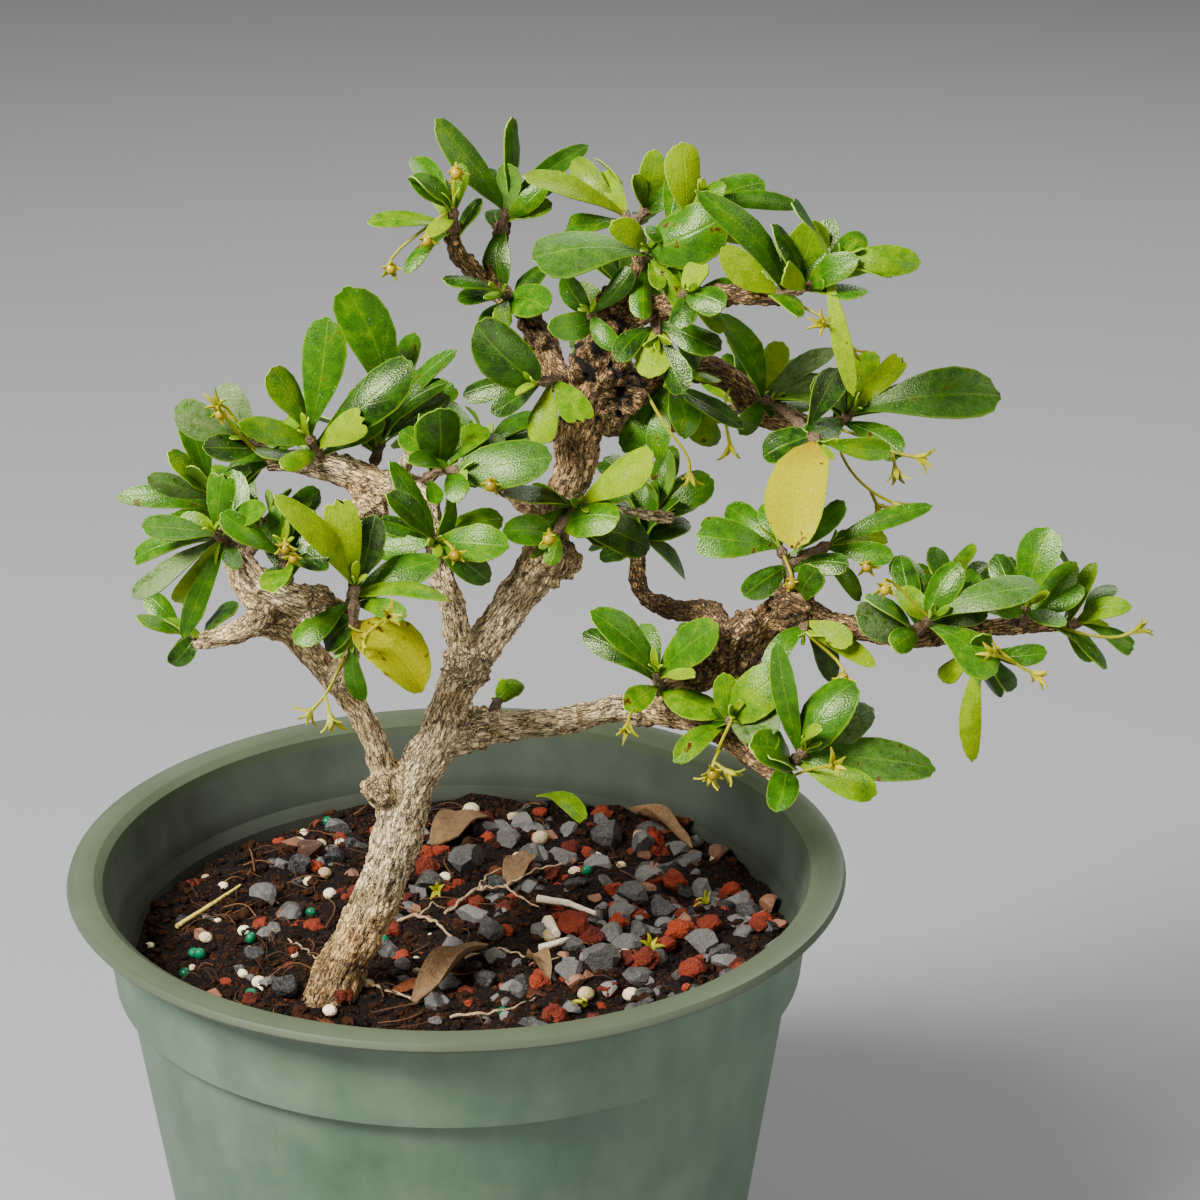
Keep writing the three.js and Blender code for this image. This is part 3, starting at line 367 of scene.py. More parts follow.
@dataclass(frozen=True)
class MouldedPolypropylene:
    """Green moulded polypropylene: a low satin gloss, rubbed pale in streaks, and dusted with soil inside."""

    colour: str = "#3f5741"
    rubbed: str = "#778a70"
    lip: str = "#39412f"
    lip_rubbed: str = "#525b45"
    inside: str = "#3c4338"
    dust: str = "#62665a"
    near_soil_dark: str = "#201f18"
    roughness: float = 0.46
    rubbed_roughness: float = 0.2
    dust_roughness: float = 0.9
    gloss: float = 0.5
    dusty_gloss: float = 0.12
    scuff_wide_mm: float = 11.0
    scuff_stretch: float = 0.55
    cloud_mm: float = 26.0
    grain_mm: float = 1.1
    grain_deep_mm: float = 0.05
    lip_height_mm: float = 111.4
    lip_edge_mm: float = 1.2
    soil_height_mm: float = 97.0
    dark_band_high_mm: float = 6.0

    def material(self) -> bpy.types.Material:
        """Builds the material.

        Returns:
            The material, which reads object coordinates and each point's side of the wall.
        """
        made, shader, node = start_material("moulded_polypropylene")
        place = node("TexCoord", (), "Object")
        level = node("SeparateXYZ", (place,), "Z")
        inner = node("Attribute", (), "Fac", attribute_name="inner")
        streak_place = node("VectorMath", (place, (1, 1, self.scuff_stretch)), operation="MULTIPLY")
        scuff_scale = 1 / (self.scuff_wide_mm * MM)
        streaks = node(
            "TexNoise", {"Vector": streak_place, "Scale": scuff_scale, "Detail": 6.0, "Roughness": 0.62}
        )
        clouds = node(
            "TexNoise", {"Vector": place, "Scale": 1 / (self.cloud_mm * MM), "Detail": 4.0, "Roughness": 0.6}
        )
        worn = node("Math", (streaks, clouds), operation="MULTIPLY")
        rub = node("MapRange", (worn, 0.12, 0.5, 0, 0.6))
        outside = node("Mix", (rub, self.colour, self.rubbed))
        lip_foot = (self.lip_height_mm - self.lip_edge_mm) * MM
        at_lip = node("MapRange", (level, lip_foot, self.lip_height_mm * MM))
        # Darker towards the soil, in a band a few millimetres high, mottled by the clouds
        dark_band_foot, dark_band_top = self.soil_height_mm * MM, (self.soil_height_mm + self.dark_band_high_mm) * MM
        low = node("MapRange", (level, dark_band_foot, dark_band_top, 0.8, 0))
        uneven = node("MapRange", (clouds, 0.3, 0.6, 0.7))
        darkened_near_soil = node("Math", (low, uneven), operation="MULTIPLY")
        dusty = node("Mix", (rub, self.inside, self.dust))
        wall = node("Mix", (darkened_near_soil, dusty, self.near_soil_dark))
        both = node("Mix", (inner, outside, wall))
        lip = node("Mix", (clouds, self.lip, self.lip_rubbed))
        colour = node("Mix", (at_lip, both, lip))
        roughest = self.roughness + self.rubbed_roughness
        satin = node("MapRange", (rub, 0, 1, self.roughness, roughest))
        rough = node("Math", (inner, self.dust_roughness, satin), operation="MULTIPLY_ADD", use_clamp=True)
        glint = node("MapRange", (inner, 0, 1, self.gloss, self.dusty_gloss))
        grain = node("TexNoise", {"Vector": place, "Scale": 1 / (self.grain_mm * MM), "Detail": 3.0})
        bump = node("Bump", {"Height": grain, "Strength": 0.25, "Distance": self.grain_deep_mm * MM})
        # The export drops a linked gloss, so its socket holds the usual one as well
        fill(shader, {"Specular IOR Level": self.gloss, "IOR": 1.49})
        fill(shader, {"Base Color": colour, "Roughness": rough, "Normal": bump, "Specular IOR Level": glint})
        return made


@dataclass(frozen=True)
class Bark:
    """Furrowed bark: corky plates drawn out along the limb, thin dark furrows between them, a little lichen,
    with shade painted low and highlights high.
    """

    # The dark of the cracks, also painted as shade where the relief is low
    shaded_furrow: str = "#120903"
    ridge: str = "#7f5c36"
    warm_ridge: str = "#a87540"
    # The painted highlight on raised grey bark
    pale_crest_highlight: str = "#f8d598"
    bleached: str = "#ffe2ac"
    # The painted highlight on raised brown bark
    gold: str = "#f0b45c"
    upper: str = "#2c1c0e"
    rust: str = "#80562e"
    lichen: str = "#8c8a2c"
    grime: str = "#a8946c"
    roughness: float = 0.78
    gloss: float = 0.35
    plate_wide_mm: float = 0.85
    plate_long_mm: float = 3.6
    fibre_mm: float = 0.2
    relief_mm: float = 0.5

    def material(self) -> bpy.types.Material:
        """Builds the material.

        Returns:
            The material. It reads bark_place, the place along and across the limb in millimetres, and bark_tone:
            the relief's height, which the painted shade and highlights follow, how bleached, brown and green the
            bark is.
        """
        made, shader, node = start_material("furrowed_bark")
        place = node("Attribute", (), "Vector", attribute_name="bark_place")
        tone = node("Attribute", (), attribute_name="bark_tone").node.outputs
        height, bleaching, browning = node("SeparateColor", (tone["Color"],)).node.outputs[:3]
        warp = node("TexNoise", {"Vector": place, "Scale": 0.55, "Detail": 4.0, "Roughness": 0.65}, "Color")
        warped = node("VectorMath", (warp, (1.5, 1.5, 3.0), place), operation="MULTIPLY_ADD")
        shape = (1 / self.plate_wide_mm, 1 / self.plate_wide_mm, 1 / self.plate_long_mm)
        drawn_out = node("VectorMath", (warped, shape), operation="MULTIPLY")
        cells = node("TexVoronoi", {"Vector": drawn_out, "Scale": 1.0}, feature="DISTANCE_TO_EDGE")
        breaks = node("MapRange", (cells, 0, 0.11, 0.2))
        waves = node("TexNoise", {"Vector": drawn_out, "Scale": 1.15, "Detail": 3.0, "Roughness": 0.6})
        centred = node("Math", (waves, 0.5), operation="SUBTRACT")
        furrows = node("Math", (centred,), operation="ABSOLUTE")
        ridges = node("MapRange", (furrows, 0, 0.042))
        plate = node("Math", (breaks, ridges), operation="MULTIPLY")
        fibre_place = node("VectorMath", (warped, (1, 1, 0.26)), operation="MULTIPLY")
        fibre_scale = 0.5 / self.fibre_mm
        fibres = node(
            "TexNoise", {"Vector": fibre_place, "Scale": fibre_scale, "Detail": 5.0, "Roughness": 0.75}
        )
        flecks = node("TexNoise", {"Vector": place, "Scale": 0.9, "Detail": 5.0, "Roughness": 0.7})
        # Painted light: highlights go on high relief, and shade on low relief
        raised = node("MapRange", (height, -0.5, 0.35))
        # Painted highlights on the raised fibres, fewer and smaller on brown bark; bleached bark is pale all
        # over
        browner = node("Math", (browning, bleaching), operation="SUBTRACT")
        fewer = node("Math", (browner, 0.16, 0.37), operation="MULTIPLY_ADD")
        most = node("Math", (fewer, 0.13), operation="ADD")
        fibre_lit = node("MapRange", (fibres, fewer, most))
        bright = node("Math", (raised, fibre_lit), operation="MULTIPLY")
        pale = node("Mix", (bleaching, self.pale_crest_highlight, self.bleached))
        crest_highlights = node("Mix", (browning, pale, self.gold))
        warm = node("MapRange", (flecks, 0.46, 0.62, 0, 0.8))
        ridge = node("Mix", (warm, self.ridge, self.warm_ridge))
        brown = node("Mix", (warm, self.upper, self.rust))
        body = node("Mix", (browning, ridge, brown))
        fade = node("Math", (bleaching, 0.72), operation="MULTIPLY")
        faded = node("Mix", (fade, body, self.bleached))
        highlighted = node("Mix", (bright, faded, crest_highlights))
        patches = node("MapRange", (flecks, 0.33, 0.45, 1, 0))
        green = node("Math", (patches, tone["Alpha"]), operation="MULTIPLY")
        grown = node("Mix", (green, highlighted, self.lichen))
        # Painted shade: low relief takes the dark colour of the cracks as well
        cracks_and_low_shade = node("Math", (plate, raised), operation="MULTIPLY")
        shown = node("MapRange", (cracks_and_low_shade, 0.06, 0.7))
        cracked_and_shaded = node("Mix", (shown, self.shaded_furrow, grown))
        # Damp, grimy patches a few millimetres wide break up the paleness
        blots = node("TexNoise", {"Vector": place, "Scale": 0.2, "Detail": 4.0, "Roughness": 0.6})
        damp = node("MapRange", (blots, 0.48, 0.64, 0, 0.7))
        colour = node("Mix", (damp, cracked_and_shaded, self.grime), blend_type="MULTIPLY")
        relief = node("Math", (fibres, 0.8, plate), operation="MULTIPLY_ADD")
        bump = node("Bump", {"Height": relief, "Strength": 1.0, "Distance": self.relief_mm * MM})
        fill(shader, {"Base Color": colour, "Normal": bump})
        fill(shader, {"Roughness": self.roughness, "Specular IOR Level": self.gloss})
        return made


class Side(Enum):
    """The parts of a leaf that are coloured differently."""

    UPPER = "leaf_upper_side"
    UNDER = "leaf_under_side"
    MARGIN = "leaf_margin"


@dataclass(frozen=True)
class LeafTissue:
    """A leathery leaf: waxy and finely pimpled above, dull and paler below, with a thin bright margin."""

    side: Side
    dark: str = "#0a2601"
    green: str = "#366800"
    young: str = "#809c00"
    golden: str = "#a49c00"
    orange: str = "#9a7000"
    dust: str = "#6c7a50"
    margin: str = "#7c9c00"
    scorch: str = "#4a2a0a"
    # The painted shade in the grooves between the pimples
    shaded_furrow: str = "#b4c080"
    lime: str = "#c9cfae"
    roughness: float = 0.3
    dusty_roughness: float = 0.75
    gloss: float = 0.5
    young_gloss: float = 0.03
    mottle_mm: float = 2.6
    dust_mm: float = 1.4
    pimple_mm: float = 0.36
    relief_mm: float = 0.13
    vein_pairs: float = 6.0

    def material(self) -> bpy.types.Material:
        """Builds the material.

        Returns:
            The material. It reads the leaf map, across and along each blade, and leaf_tone: how young, how
            golden and how dusty the leaf is, the dust also painting a sheen on some, and its own number.
        """
        made, shader, node = start_material(self.side.value)
        blade = node("SeparateXYZ", (node("UVMap", (), uv_map="leaf"),)).node.outputs
        tone = node("Attribute", (), attribute_name="leaf_tone").node.outputs
        youth, gold, dust_and_sheen = node("SeparateColor", (tone["Color"],)).node.outputs[:3]
        place = node("TexCoord", (), "Object")
        across = node("Math", (blade["X"], 0.5), operation="SUBTRACT")
        aside = node("Math", (across,), operation="ABSOLUTE")
        mottle = node(
            "TexNoise", {"Vector": place, "Scale": 1 / (self.mottle_mm * MM), "Detail": 4.0, "Roughness": 0.6}
        )
        uneven = node("MapRange", (mottle, 0.3, 0.7, -0.22, 0.22))
        age = node("Math", (youth, uneven), operation="ADD", use_clamp=True)
        old = node("MapRange", (age, 0, 0.5))
        new = node("MapRange", (age, 0.5))
        mature = node("Mix", (old, self.dark, self.green))
        green = node("Mix", (new, mature, self.young))
        turned = node("Mix", (gold, green, self.golden))
        # Side veins run outwards and forwards from the midrib
        slant = node("Math", (aside, -0.55, blade["Y"]), operation="MULTIPLY_ADD")
        turns = node("Math", (slant, self.vein_pairs * math.tau), operation="MULTIPLY")
        wave = node("Math", (turns,), operation="COSINE")
        vein = node("MapRange", (wave, 0.9))
        rib = node("MapRange", (aside, 0.012, 0.035, 1, 0))
        faint = node("Math", (vein, 0.3), operation="MULTIPLY")
        drawn = node("Math", (rib, faint), operation="MAXIMUM")
        shown = node("Math", (drawn, 0.26), operation="MULTIPLY")
        veined = node("Mix", (shown, turned, self.margin))
        edge = node("MapRange", (aside, 0.455, 0.5, 0, 0.6))
        edged = node("Mix", (edge, veined, self.margin))
        spots = node(
            "TexNoise", {"Vector": place, "Scale": 1 / (self.dust_mm * MM), "Detail": 6.0, "Roughness": 0.75}
        )
        # Dust, which on the sheen tone's leaves stands for a painted sheen
        settled = node("MapRange", (spots, 0.36, 0.62))
        dust_and_sheen_mask = node("Math", (settled, dust_and_sheen), operation="MULTIPLY")
        # Every sixth leaf or so is scorched brown in a spot or two
        frail = node("MapRange", (tone["Alpha"], 0.84, 0.88))
        patch = node("MapRange", (mottle, 0.62, 0.66))
        dying = node("Math", (frail, gold), operation="MAXIMUM")
        scorched = node("Math", (patch, dying), operation="MULTIPLY")
        # A golden leaf is orange towards its stalk
        stalkward = node("MapRange", (blade["Y"], 0.06, 0.3, 0.6, 0))
        orange = node("Math", (stalkward, gold), operation="MULTIPLY")
        ripened = node("Mix", (orange, edged, self.orange))
        burnt = node("Mix", (scorched, ripened, self.scorch))
        dull = node("Mix", (dust_and_sheen_mask, burnt, self.dust))
        pimple = node("TexVoronoi", {"Vector": place, "Scale": 1 / (self.pimple_mm * MM)}).node.outputs
        # One pimple in seventy carries a speck of lime
        chosen = node("SeparateColor", (pimple["Color"],))
        limed = node("Math", (chosen, 0.985), operation="GREATER_THAN")
        middle = node("MapRange", (pimple["Distance"], 0.15, 0.32, 0.6, 0))
        speck = node("Math", (limed, middle), operation="MULTIPLY")
        # Painted shade darkens the grooves between the pimples
        between = node("MapRange", (pimple["Distance"], 0.2, 0.6, 0, 0.45))
        shaded_between_pimples = node("Mix", (between, dull, self.shaded_furrow), blend_type="MULTIPLY")
        colour = node("Mix", (speck, shaded_between_pimples, self.lime))
        height = node("Math", (drawn, -0.9, pimple["Distance"]), operation="MULTIPLY_ADD")
        bump = node("Bump", {"Height": height, "Strength": 0.38, "Distance": self.relief_mm * MM})
        rough = node("MapRange", (dust_and_sheen_mask, 0, 1, self.roughness, self.dusty_roughness))
        sheen = node("MapRange", (age, 0.4, 0.9, self.gloss, self.young_gloss))
        # The export drops a linked gloss, so its socket holds a mature leaf's as well
        fill(shader, {"Specular IOR Level": self.gloss, "Specular Tint": "#f0ffc0", "IOR": 1.45})
        fill(shader, {"Subsurface Weight": 0.12, "Subsurface Radius": (0.5, 1.0, 0.15)})
        fill(shader, {"Subsurface Scale": 0.7 * MM, "Specular IOR Level": sheen})
        fill(shader, {"Base Color": colour, "Roughness": rough, "Normal": bump})
        return made


# A leaf's upper side, its duller and paler lower one, and its thin edge
LEAF_SIDES = (
    LeafTissue(Side.UPPER),
    LeafTissue(Side.UNDER, "#4d7428", "#6fa032", "#a9c83a", "#ddd648", roughness=0.55),
    LeafTissue(Side.MARGIN, "#7ba238", "#9cc23c", "#c4dc46", "#e8de50", roughness=0.45),
)


@dataclass(frozen=True)
class Grit:
    """Anything with a matt, mottled body colour and fine pits: stones, chips, prills, dry leaves and roots."""

    name: str
    dark: str
    light: str
    fleck: str
    grain_mm: float = 1.0
    pit_mm: float = 0.6
    relief_mm: float = 0.25
    roughness: float = 0.9
    flecked: float = 0.25
    gloss: float = 0.3

    def material(self) -> bpy.types.Material:
        """Builds the material.

        Returns:
            The material, which reads object coordinates and each piece's own shade.
        """
        made, shader, node = start_material(self.name)
        place = node("TexCoord", (), "Object")
        shade = node("Attribute", (), "Fac", attribute_name="shade")
        clouds = node(
            "TexNoise", {"Vector": place, "Scale": 1 / (self.grain_mm * MM), "Detail": 5.0, "Roughness": 0.65}
        )
        pits = node("TexVoronoi", {"Vector": place, "Scale": 1 / (self.pit_mm * MM)})
        blend = node("Math", (clouds, shade), operation="ADD")
        spread = node("MapRange", (blend, 0.5, 1.4))
        body = node("Mix", (spread, self.dark, self.light))
        specks = node("MapRange", (pits, 0.12, 0.3, self.flecked, 0))
        colour = node("Mix", (specks, body, self.fleck))
        height = node("Math", (clouds, pits), operation="ADD")
        bump = node("Bump", {"Height": height, "Strength": 0.8, "Distance": self.relief_mm * MM})
        fill(shader, {"Base Color": colour, "Normal": bump})
        fill(shader, {"Roughness": self.roughness, "Specular IOR Level": self.gloss})
        return made


# Composted peat and bark: nearly black and matt where it is damp, with brown crumbs, chips and fibres
PEAT = Grit("peat_and_bark_fines", "#030100", "#2e1604", "#7c4814", 1.4, 0.9, 0.8, 0.9, 0.25, 0.15)
BARK_CHIP = Grit("bark_chips", "#0a0502", "#5a2c0e", "#a06828", 1.5, 0.9, 0.4, 0.85, 0.2, 0.2)
FIBRE = Grit("bark_fibres", "#1c0f06", "#5e3c1c", "#8c6436", 1.2, 0.5, 0.1, 0.85, 0.2)
# Crushed lava rock is rust red with dark pores, split slate is smooth and grey, and pebbles are worn brown
LAVA = Grit("lava_rock", "#3e150b", "#823017", "#240b05", 1.2, 0.7, 0.5, 0.9, 0.6, 0.2)
SLATE = Grit("grey_slate", "#141210", "#64605a", "#a8a194", 1.1, 0.6, 0.12, 0.7, 0.2)
UMBER_STONE = Grit("umber_pebble", "#362117", "#80553c", "#a98c74", 2.0, 0.8, 0.1, 0.65, 0.2)
# Pumice and perlite are chalky and cream, and fertiliser prills have a smooth green resin coat
PUMICE = Grit("pumice_and_perlite", "#9a8459", "#f0dfb8", "#6f5c3a", 1.4, 0.6, 0.25, 0.85, 0.4)
PRILL = Grit("fertiliser_prills", "#003f24", "#00774a", "#2fb27f", 1.6, 0.5, 0.05, 0.35, 0.1)
# Dry leaves, roots, wood and stems have lost their sap, so they are matt, fibrous and brown to straw
DRY_LEAF = Grit("dry_leaves", "#1f1209", "#86663f", "#1a0f08", 1.3, 0.5, 0.12, 0.75, 0.3)
DRY_ROOT = Grit("dry_roots", "#4c341e", "#bda078", "#2b1b0f", 0.7, 0.4, 0.25, 0.9, 0.4)
PALE_WOOD = Grit("split_pale_wood", "#b39a6c", "#f0e4c4", "#8d7448", 0.9, 0.5, 0.15, 0.8, 0.25)
STRAW = Grit("yellow_stems", "#a08428", "#dcc65a", "#6a5a20", 1.0, 0.5, 0.1, 0.7, 0.2)
YOUNG_BARK = Grit("young_bark", "#35251a", "#8a7050", "#b59c74", 0.9, 0.5, 0.35, 0.85, 0.4)
# Calyxes and their stalks are papery and olive yellow, and a ripe drupe's skin is taut with a soft gloss
CALYX = Grit("calyx_and_stalks", "#5a6800", "#a8a000", "#7c4a08", 0.8, 0.4, 0.06, 0.5, 0.3)
DRUPE = Grit("drupe_skin", "#6e5c00", "#a08a00", "#8a6400", 1.4, 0.5, 0.02, 0.25, 0.3)


# The pot


@dataclass
class NurseryPot:
    """A thin tapering pot with a stepped band at its top and a flat rolled lip, open at its drain holes."""

    profile: tuple[Place, ...] = (
        (0, 0), (52.2, 0), (53.7, 1.5), (66.6, 90.6), (68.9, 92.2), (71, 110.6), (72.9, 112), (77, 112),
        (77.5, 112.7), (77, 114), (72.2, 114), (70.5, 112.8), (68.2, 99), (65.9, 97), (52.4, 1.3), (0, 1.3),
    )
    steps: int = 96
    drain_holes: int = 6
    drain_hole_radius: float = 5.0
    drain_ring_radius: float = 39.0
    drill_long: float = 8.0
    edge: float = 0.45
    inner_from: float = 0.6
    floor_thick: float = 1.2
    finish: MouldedPolypropylene = field(default_factory=MouldedPolypropylene)

    def build(self) -> None:
        """Spins the wall from its profile, drills the floor and rounds the edges."""
        start = Vector((self.profile[0][0], 0, self.profile[0][1])) * MM
        pot = add(bpy.ops.mesh.primitive_plane_add, "pot_wall", size=MM, location=start)
        steps = [(bpy.ops.mesh.merge, {"type": "CENTER"})]
        for before, after in zip(self.profile, self.profile[1:]):
            move = ((after[0] - before[0]) * MM, 0, (after[1] - before[1]) * MM)
            steps.append((bpy.ops.mesh.extrude_region_move, {"TRANSFORM_OT_translate": {"value": move}}))
        edit(pot, None, *steps)
        round_axis = {"angle": math.tau, "center": (0, 0, 0), "axis": (0, 0, 1)}
        edit(
            pot, None, (bpy.ops.mesh.spin, {"steps": self.steps, **round_axis}),
            (bpy.ops.mesh.select_all, {"action": "SELECT"}),
            (bpy.ops.mesh.remove_doubles, {"threshold": 1e-5}),
            (bpy.ops.mesh.normals_make_consistent, {"inside": False}),
        )
        rod = {"vertices": 24, "radius": self.drain_hole_radius * MM, "depth": self.drill_long * MM}
        drills = []
        for hole in range(self.drain_holes):
            turn = math.tau * hole / self.drain_holes
            x, y = (part * self.drain_ring_radius * MM for part in (math.cos(turn), math.sin(turn)))
            drills.append(add(bpy.ops.mesh.primitive_cylinder_add, "drill", location=(x, y, 0), **rod))
        drill = join(drills, "drill")
        apply(pot, "BOOLEAN", operation="DIFFERENCE", object=drill, solver="EXACT")
        discard([drill])
        apply(
            pot, "BEVEL", width=self.edge * MM, segments=3, limit_method="ANGLE", angle_limit=math.radians(28)
        )
        paint(pot, "inner", self.inside(points_of(pot)))
        dress(pot, self.finish.material())
        finish_piece(pot, "pot_plastic", "pot", smooth=35)

    def inside(self, points: np.ndarray) -> np.ndarray:
        """Tells which points are on the wall's inner side.

        Args:
            points: Rows of x, y and z in metres.

        Returns:
            One for an inner point, nothing for an outer one.
        """
        outer = np.array(self.profile[2:9]) * MM
        reach = np.interp(points[:, 2], outer[:, 1], outer[:, 0])
        radius = np.hypot(points[:, 0], points[:, 1])
        above_floor = points[:, 2] > self.floor_thick * MM
        return ((radius < reach - self.inner_from * MM) & above_floor).astype(float)


# The wood


@dataclass
class Wood:
    """The trunk, its branches and burrs as one grown piece, with furrowed, corky bark."""

    voxel: float = 0.5
    ridge_wide: float = 1.1
    ridge_high: float = 0.7
    lump_wide: float = 5.0
    lump_high: float = 0.7
    wart_wide: float = 1.5
    wart_high: float = 1.0
    thin_limb_relief: float = 0.75
    pale_limb_warts: float = 0.95
    crown_up: float = 30.0
    trunk_knob: float = 0.62
    # How deep the painted shade between the crown's knobs goes
    knob_hollow_shade: float = -0.56
    finish: Bark = field(default_factory=Bark)

    def build(self) -> None:
        """Grows the limbs and burrs into one skin and works its bark."""
        parts = [
            wire([seen(*place[:3]) for place in places], [place[3] * MM for place in places], name)
            for name, places in (LIMBS | STUBS).items()
        ]
        for burr in BURRS:
            ball = {"radius": burr[3] * MM, "location": seen(*burr[:3])}
            parts.append(add(bpy.ops.mesh.primitive_ico_sphere_add, "burr", subdivisions=3, **ball))
            parts += self.knobs(burr)
        wood = join(parts, "trunk_and_limbs")
        apply(wood, "REMESH", mode="VOXEL", voxel_size=self.voxel * MM)
        self.work_bark(wood)
        dress(wood, self.finish.material())
        finish_piece(wood, "bark", "trunk_and_branches", smooth=80)

    def knobs(self, burr: Place) -> list[bpy.types.Object]:
        """Studs a burr with the small round knobs of its old buds.

        Args:
            burr: Its right, up and back, and its radius.

        Returns:
            The knobs: big ones that stand apart high in the crown, and grains on the trunk.
        """
        draw = seeded(int(abs(burr[0] * 31 + burr[1] * 7) + 3))
        big = 1.0 if burr[1] > self.crown_up else self.trunk_knob
        count = round(burr[3] * 4.4 / big)
        made = []
        for index in range(count):
            level = 1 - 2 * (index + 0.5) / count
            turn = index * GOLDEN_ANGLE + draw() * 0.6
            flat = math.sqrt(1 - level * level)
            way = Vector((flat * math.cos(turn), flat * math.sin(turn), level))
            place = seen(*burr[:3]) + way * (burr[3] * (0.92 + draw() * 0.22) * MM)
            ball = {"location": place, "radius": (0.8 + draw() * 0.65) * big * MM}
            made.append(add(bpy.ops.mesh.primitive_ico_sphere_add, "knob", subdivisions=2, **ball))
        return made

    def line(self) -> tuple[np.ndarray, np.ndarray, list[str]]:
        """Samples the limbs' middles closely, each with a frame that doesn't twist.

        Returns:
            For each sample its place, its frame's two cross directions with the run so far, and its limb.
        """
        places: list[np.ndarray] = []
        frames: list[np.ndarray] = []
        names: list[str] = []
        for name, limb in (LIMBS | STUBS).items():
            points = [seen(*place[:3]) for place in limb]
            along = (points[1] - points[0]).normalized()
            across = along.orthogonal().normalized()
            run = 0.0
            for start, end in zip(points, points[1:]):
                step = end - start
                turned = along.rotation_difference(step.normalized())
                across = (turned @ across).normalized()
                along = step.normalized()
                count = max(1, round(step.length / MM))
                for index in range(count):
                    places.append(np.array(start + step * (index / count)))
                    other = along.cross(across)
                    frames.append(np.array((*across, *other, run + step.length * index / count)))
                    names.append(name)
                run += step.length
        return np.array(places), np.array(frames), names

    def work_bark(self, wood: bpy.types.Object) -> None:
        """Raises ridges along the limbs, lumps and warts, and stores what the bark's colour follows.

        Args:
            wood: The remeshed wood, which is changed in place.
        """
        points = points_of(wood)
        normals = np.array([tuple(vertex.normal) for vertex in wood.data.vertices])
        places, frames, names = self.line()
        nearest = np.empty(len(points), int)
        for start in range(0, len(points), CHUNK):
            part = points[start:start + CHUNK, None, :] - places[None, :, :]
            nearest[start:start + CHUNK] = np.einsum("ijk,ijk->ij", part, part).argmin(1)
        offset = (points - places[nearest]) / MM
        frame = frames[nearest]
        across, other = (np.einsum("ij,ij->i", offset, frame[:, start:start + 3]) for start in (0, 3))
        local = np.stack((across, other, frame[:, 6] / MM), 1)
        limb_names = np.array(names)[nearest]
        height, raised = np.empty(len(points)), np.empty(len(points))
        warty = self.wartiness(points)
        knotty = np.where(np.isin(limb_names, PALE_LIMBS), self.pale_limb_warts, warty)
        for index, (place, point) in enumerate(zip(local, points)):
            bark = Vector((place[0], place[1], place[2] * 0.3)) / self.ridge_wide
            spot = Vector(point) / MM
            ridge = 1 - abs(noise.noise(bark + Vector((3.1, 7.7, 1.3)))) * 2.6
            cut = 1 - abs(noise.noise(Vector((place[0], place[1], place[2] * 0.55)) / 2.2)) * 2.2
            lump = noise.noise(spot / self.lump_wide)
            cell = noise.voronoi(spot / self.wart_wide)[0][0]
            wart = max(0.0, 0.75 - cell) * (0.5 + noise.noise(spot / 3.1)) * knotty[index]
            grain = min(1.0, max(0.0, 0.62 * ridge + 0.38 * cut))
            height[index] = grain
            raised[index] = (
                self.ridge_high * (grain - 0.55) * (1.2 - 0.6 * warty[index]) + self.lump_high * lump
                + 2 * self.wart_high * wart
            )
        # Painted shade: the relief that the colour follows sinks between the knobs of the burrs
        height = np.minimum(height, self.hollow_shade(points))
        # Thin limbs keep their width
        fine = np.where(limb_names == "trunk", 1.0, self.thin_limb_relief)
        set_points(wood, points + normals * (raised * fine * MM)[:, None])
        paint(wood, "bark_place", local)
        paint(wood, "bark_tone", self.tones(points, limb_names, height, warty))

    def hollow_shade(self, points: np.ndarray) -> np.ndarray:
        """Finds how deep the points lie between the knobs of a burr, for the painted shade there.

        Args:
            points: Rows of x, y and z in metres.

        Returns:
            Nothing or less where shade is painted between the knobs, and one away from them.
        """
        found = np.ones(len(points))
        for burr in BURRS:
            reach = np.linalg.norm(points - np.array(seen(*burr[:3])), axis=1) / MM / burr[3]
            floor = self.knob_hollow_shade if burr[1] > self.crown_up else 0.0
            found = np.where(reach < 1.3, floor + np.clip((reach - 1.0) / 0.2, 0, 1) * (1 - floor), found)
        return found

    def wartiness(self, points: np.ndarray) -> np.ndarray:
        """Finds how warty and crumbled the bark is, more at burrs and in the upper crown.

        Args:
            points: Rows of x, y and z in metres.

        Returns:
            A number from 0 to 1 for each point.
        """
        found = np.full(len(points), 0.35)
        for burr in BURRS:
            gap = np.linalg.norm(points - np.array(seen(*burr[:3])), axis=1) / MM
            found = np.maximum(found, np.clip(1.9 - gap / (burr[3] * 1.3), 0, 1))
        crown = np.clip((points[:, 2] / MM - 205) / 22, 0, 0.9)
        return np.maximum(found, crown)

    @staticmethod
    def tones(
        points: np.ndarray, limb_names: np.ndarray, height: np.ndarray, warty: np.ndarray
    ) -> np.ndarray:
        """Works out the bark's tone at each point.

        Args:
            points: Rows of x, y and z in metres.
            limb_names: The limb that each point is on.
            height: How high in the bark's relief each point is, from 0 to 1.
            warty: How warty each point is.

        Returns:
            Rows of relief, bleaching, brown and lichen, from 0 to 1.
        """
        def on(*limbs: str) -> np.ndarray:
            """Tells which points are on those limbs."""
            return np.isin(limb_names, limbs)

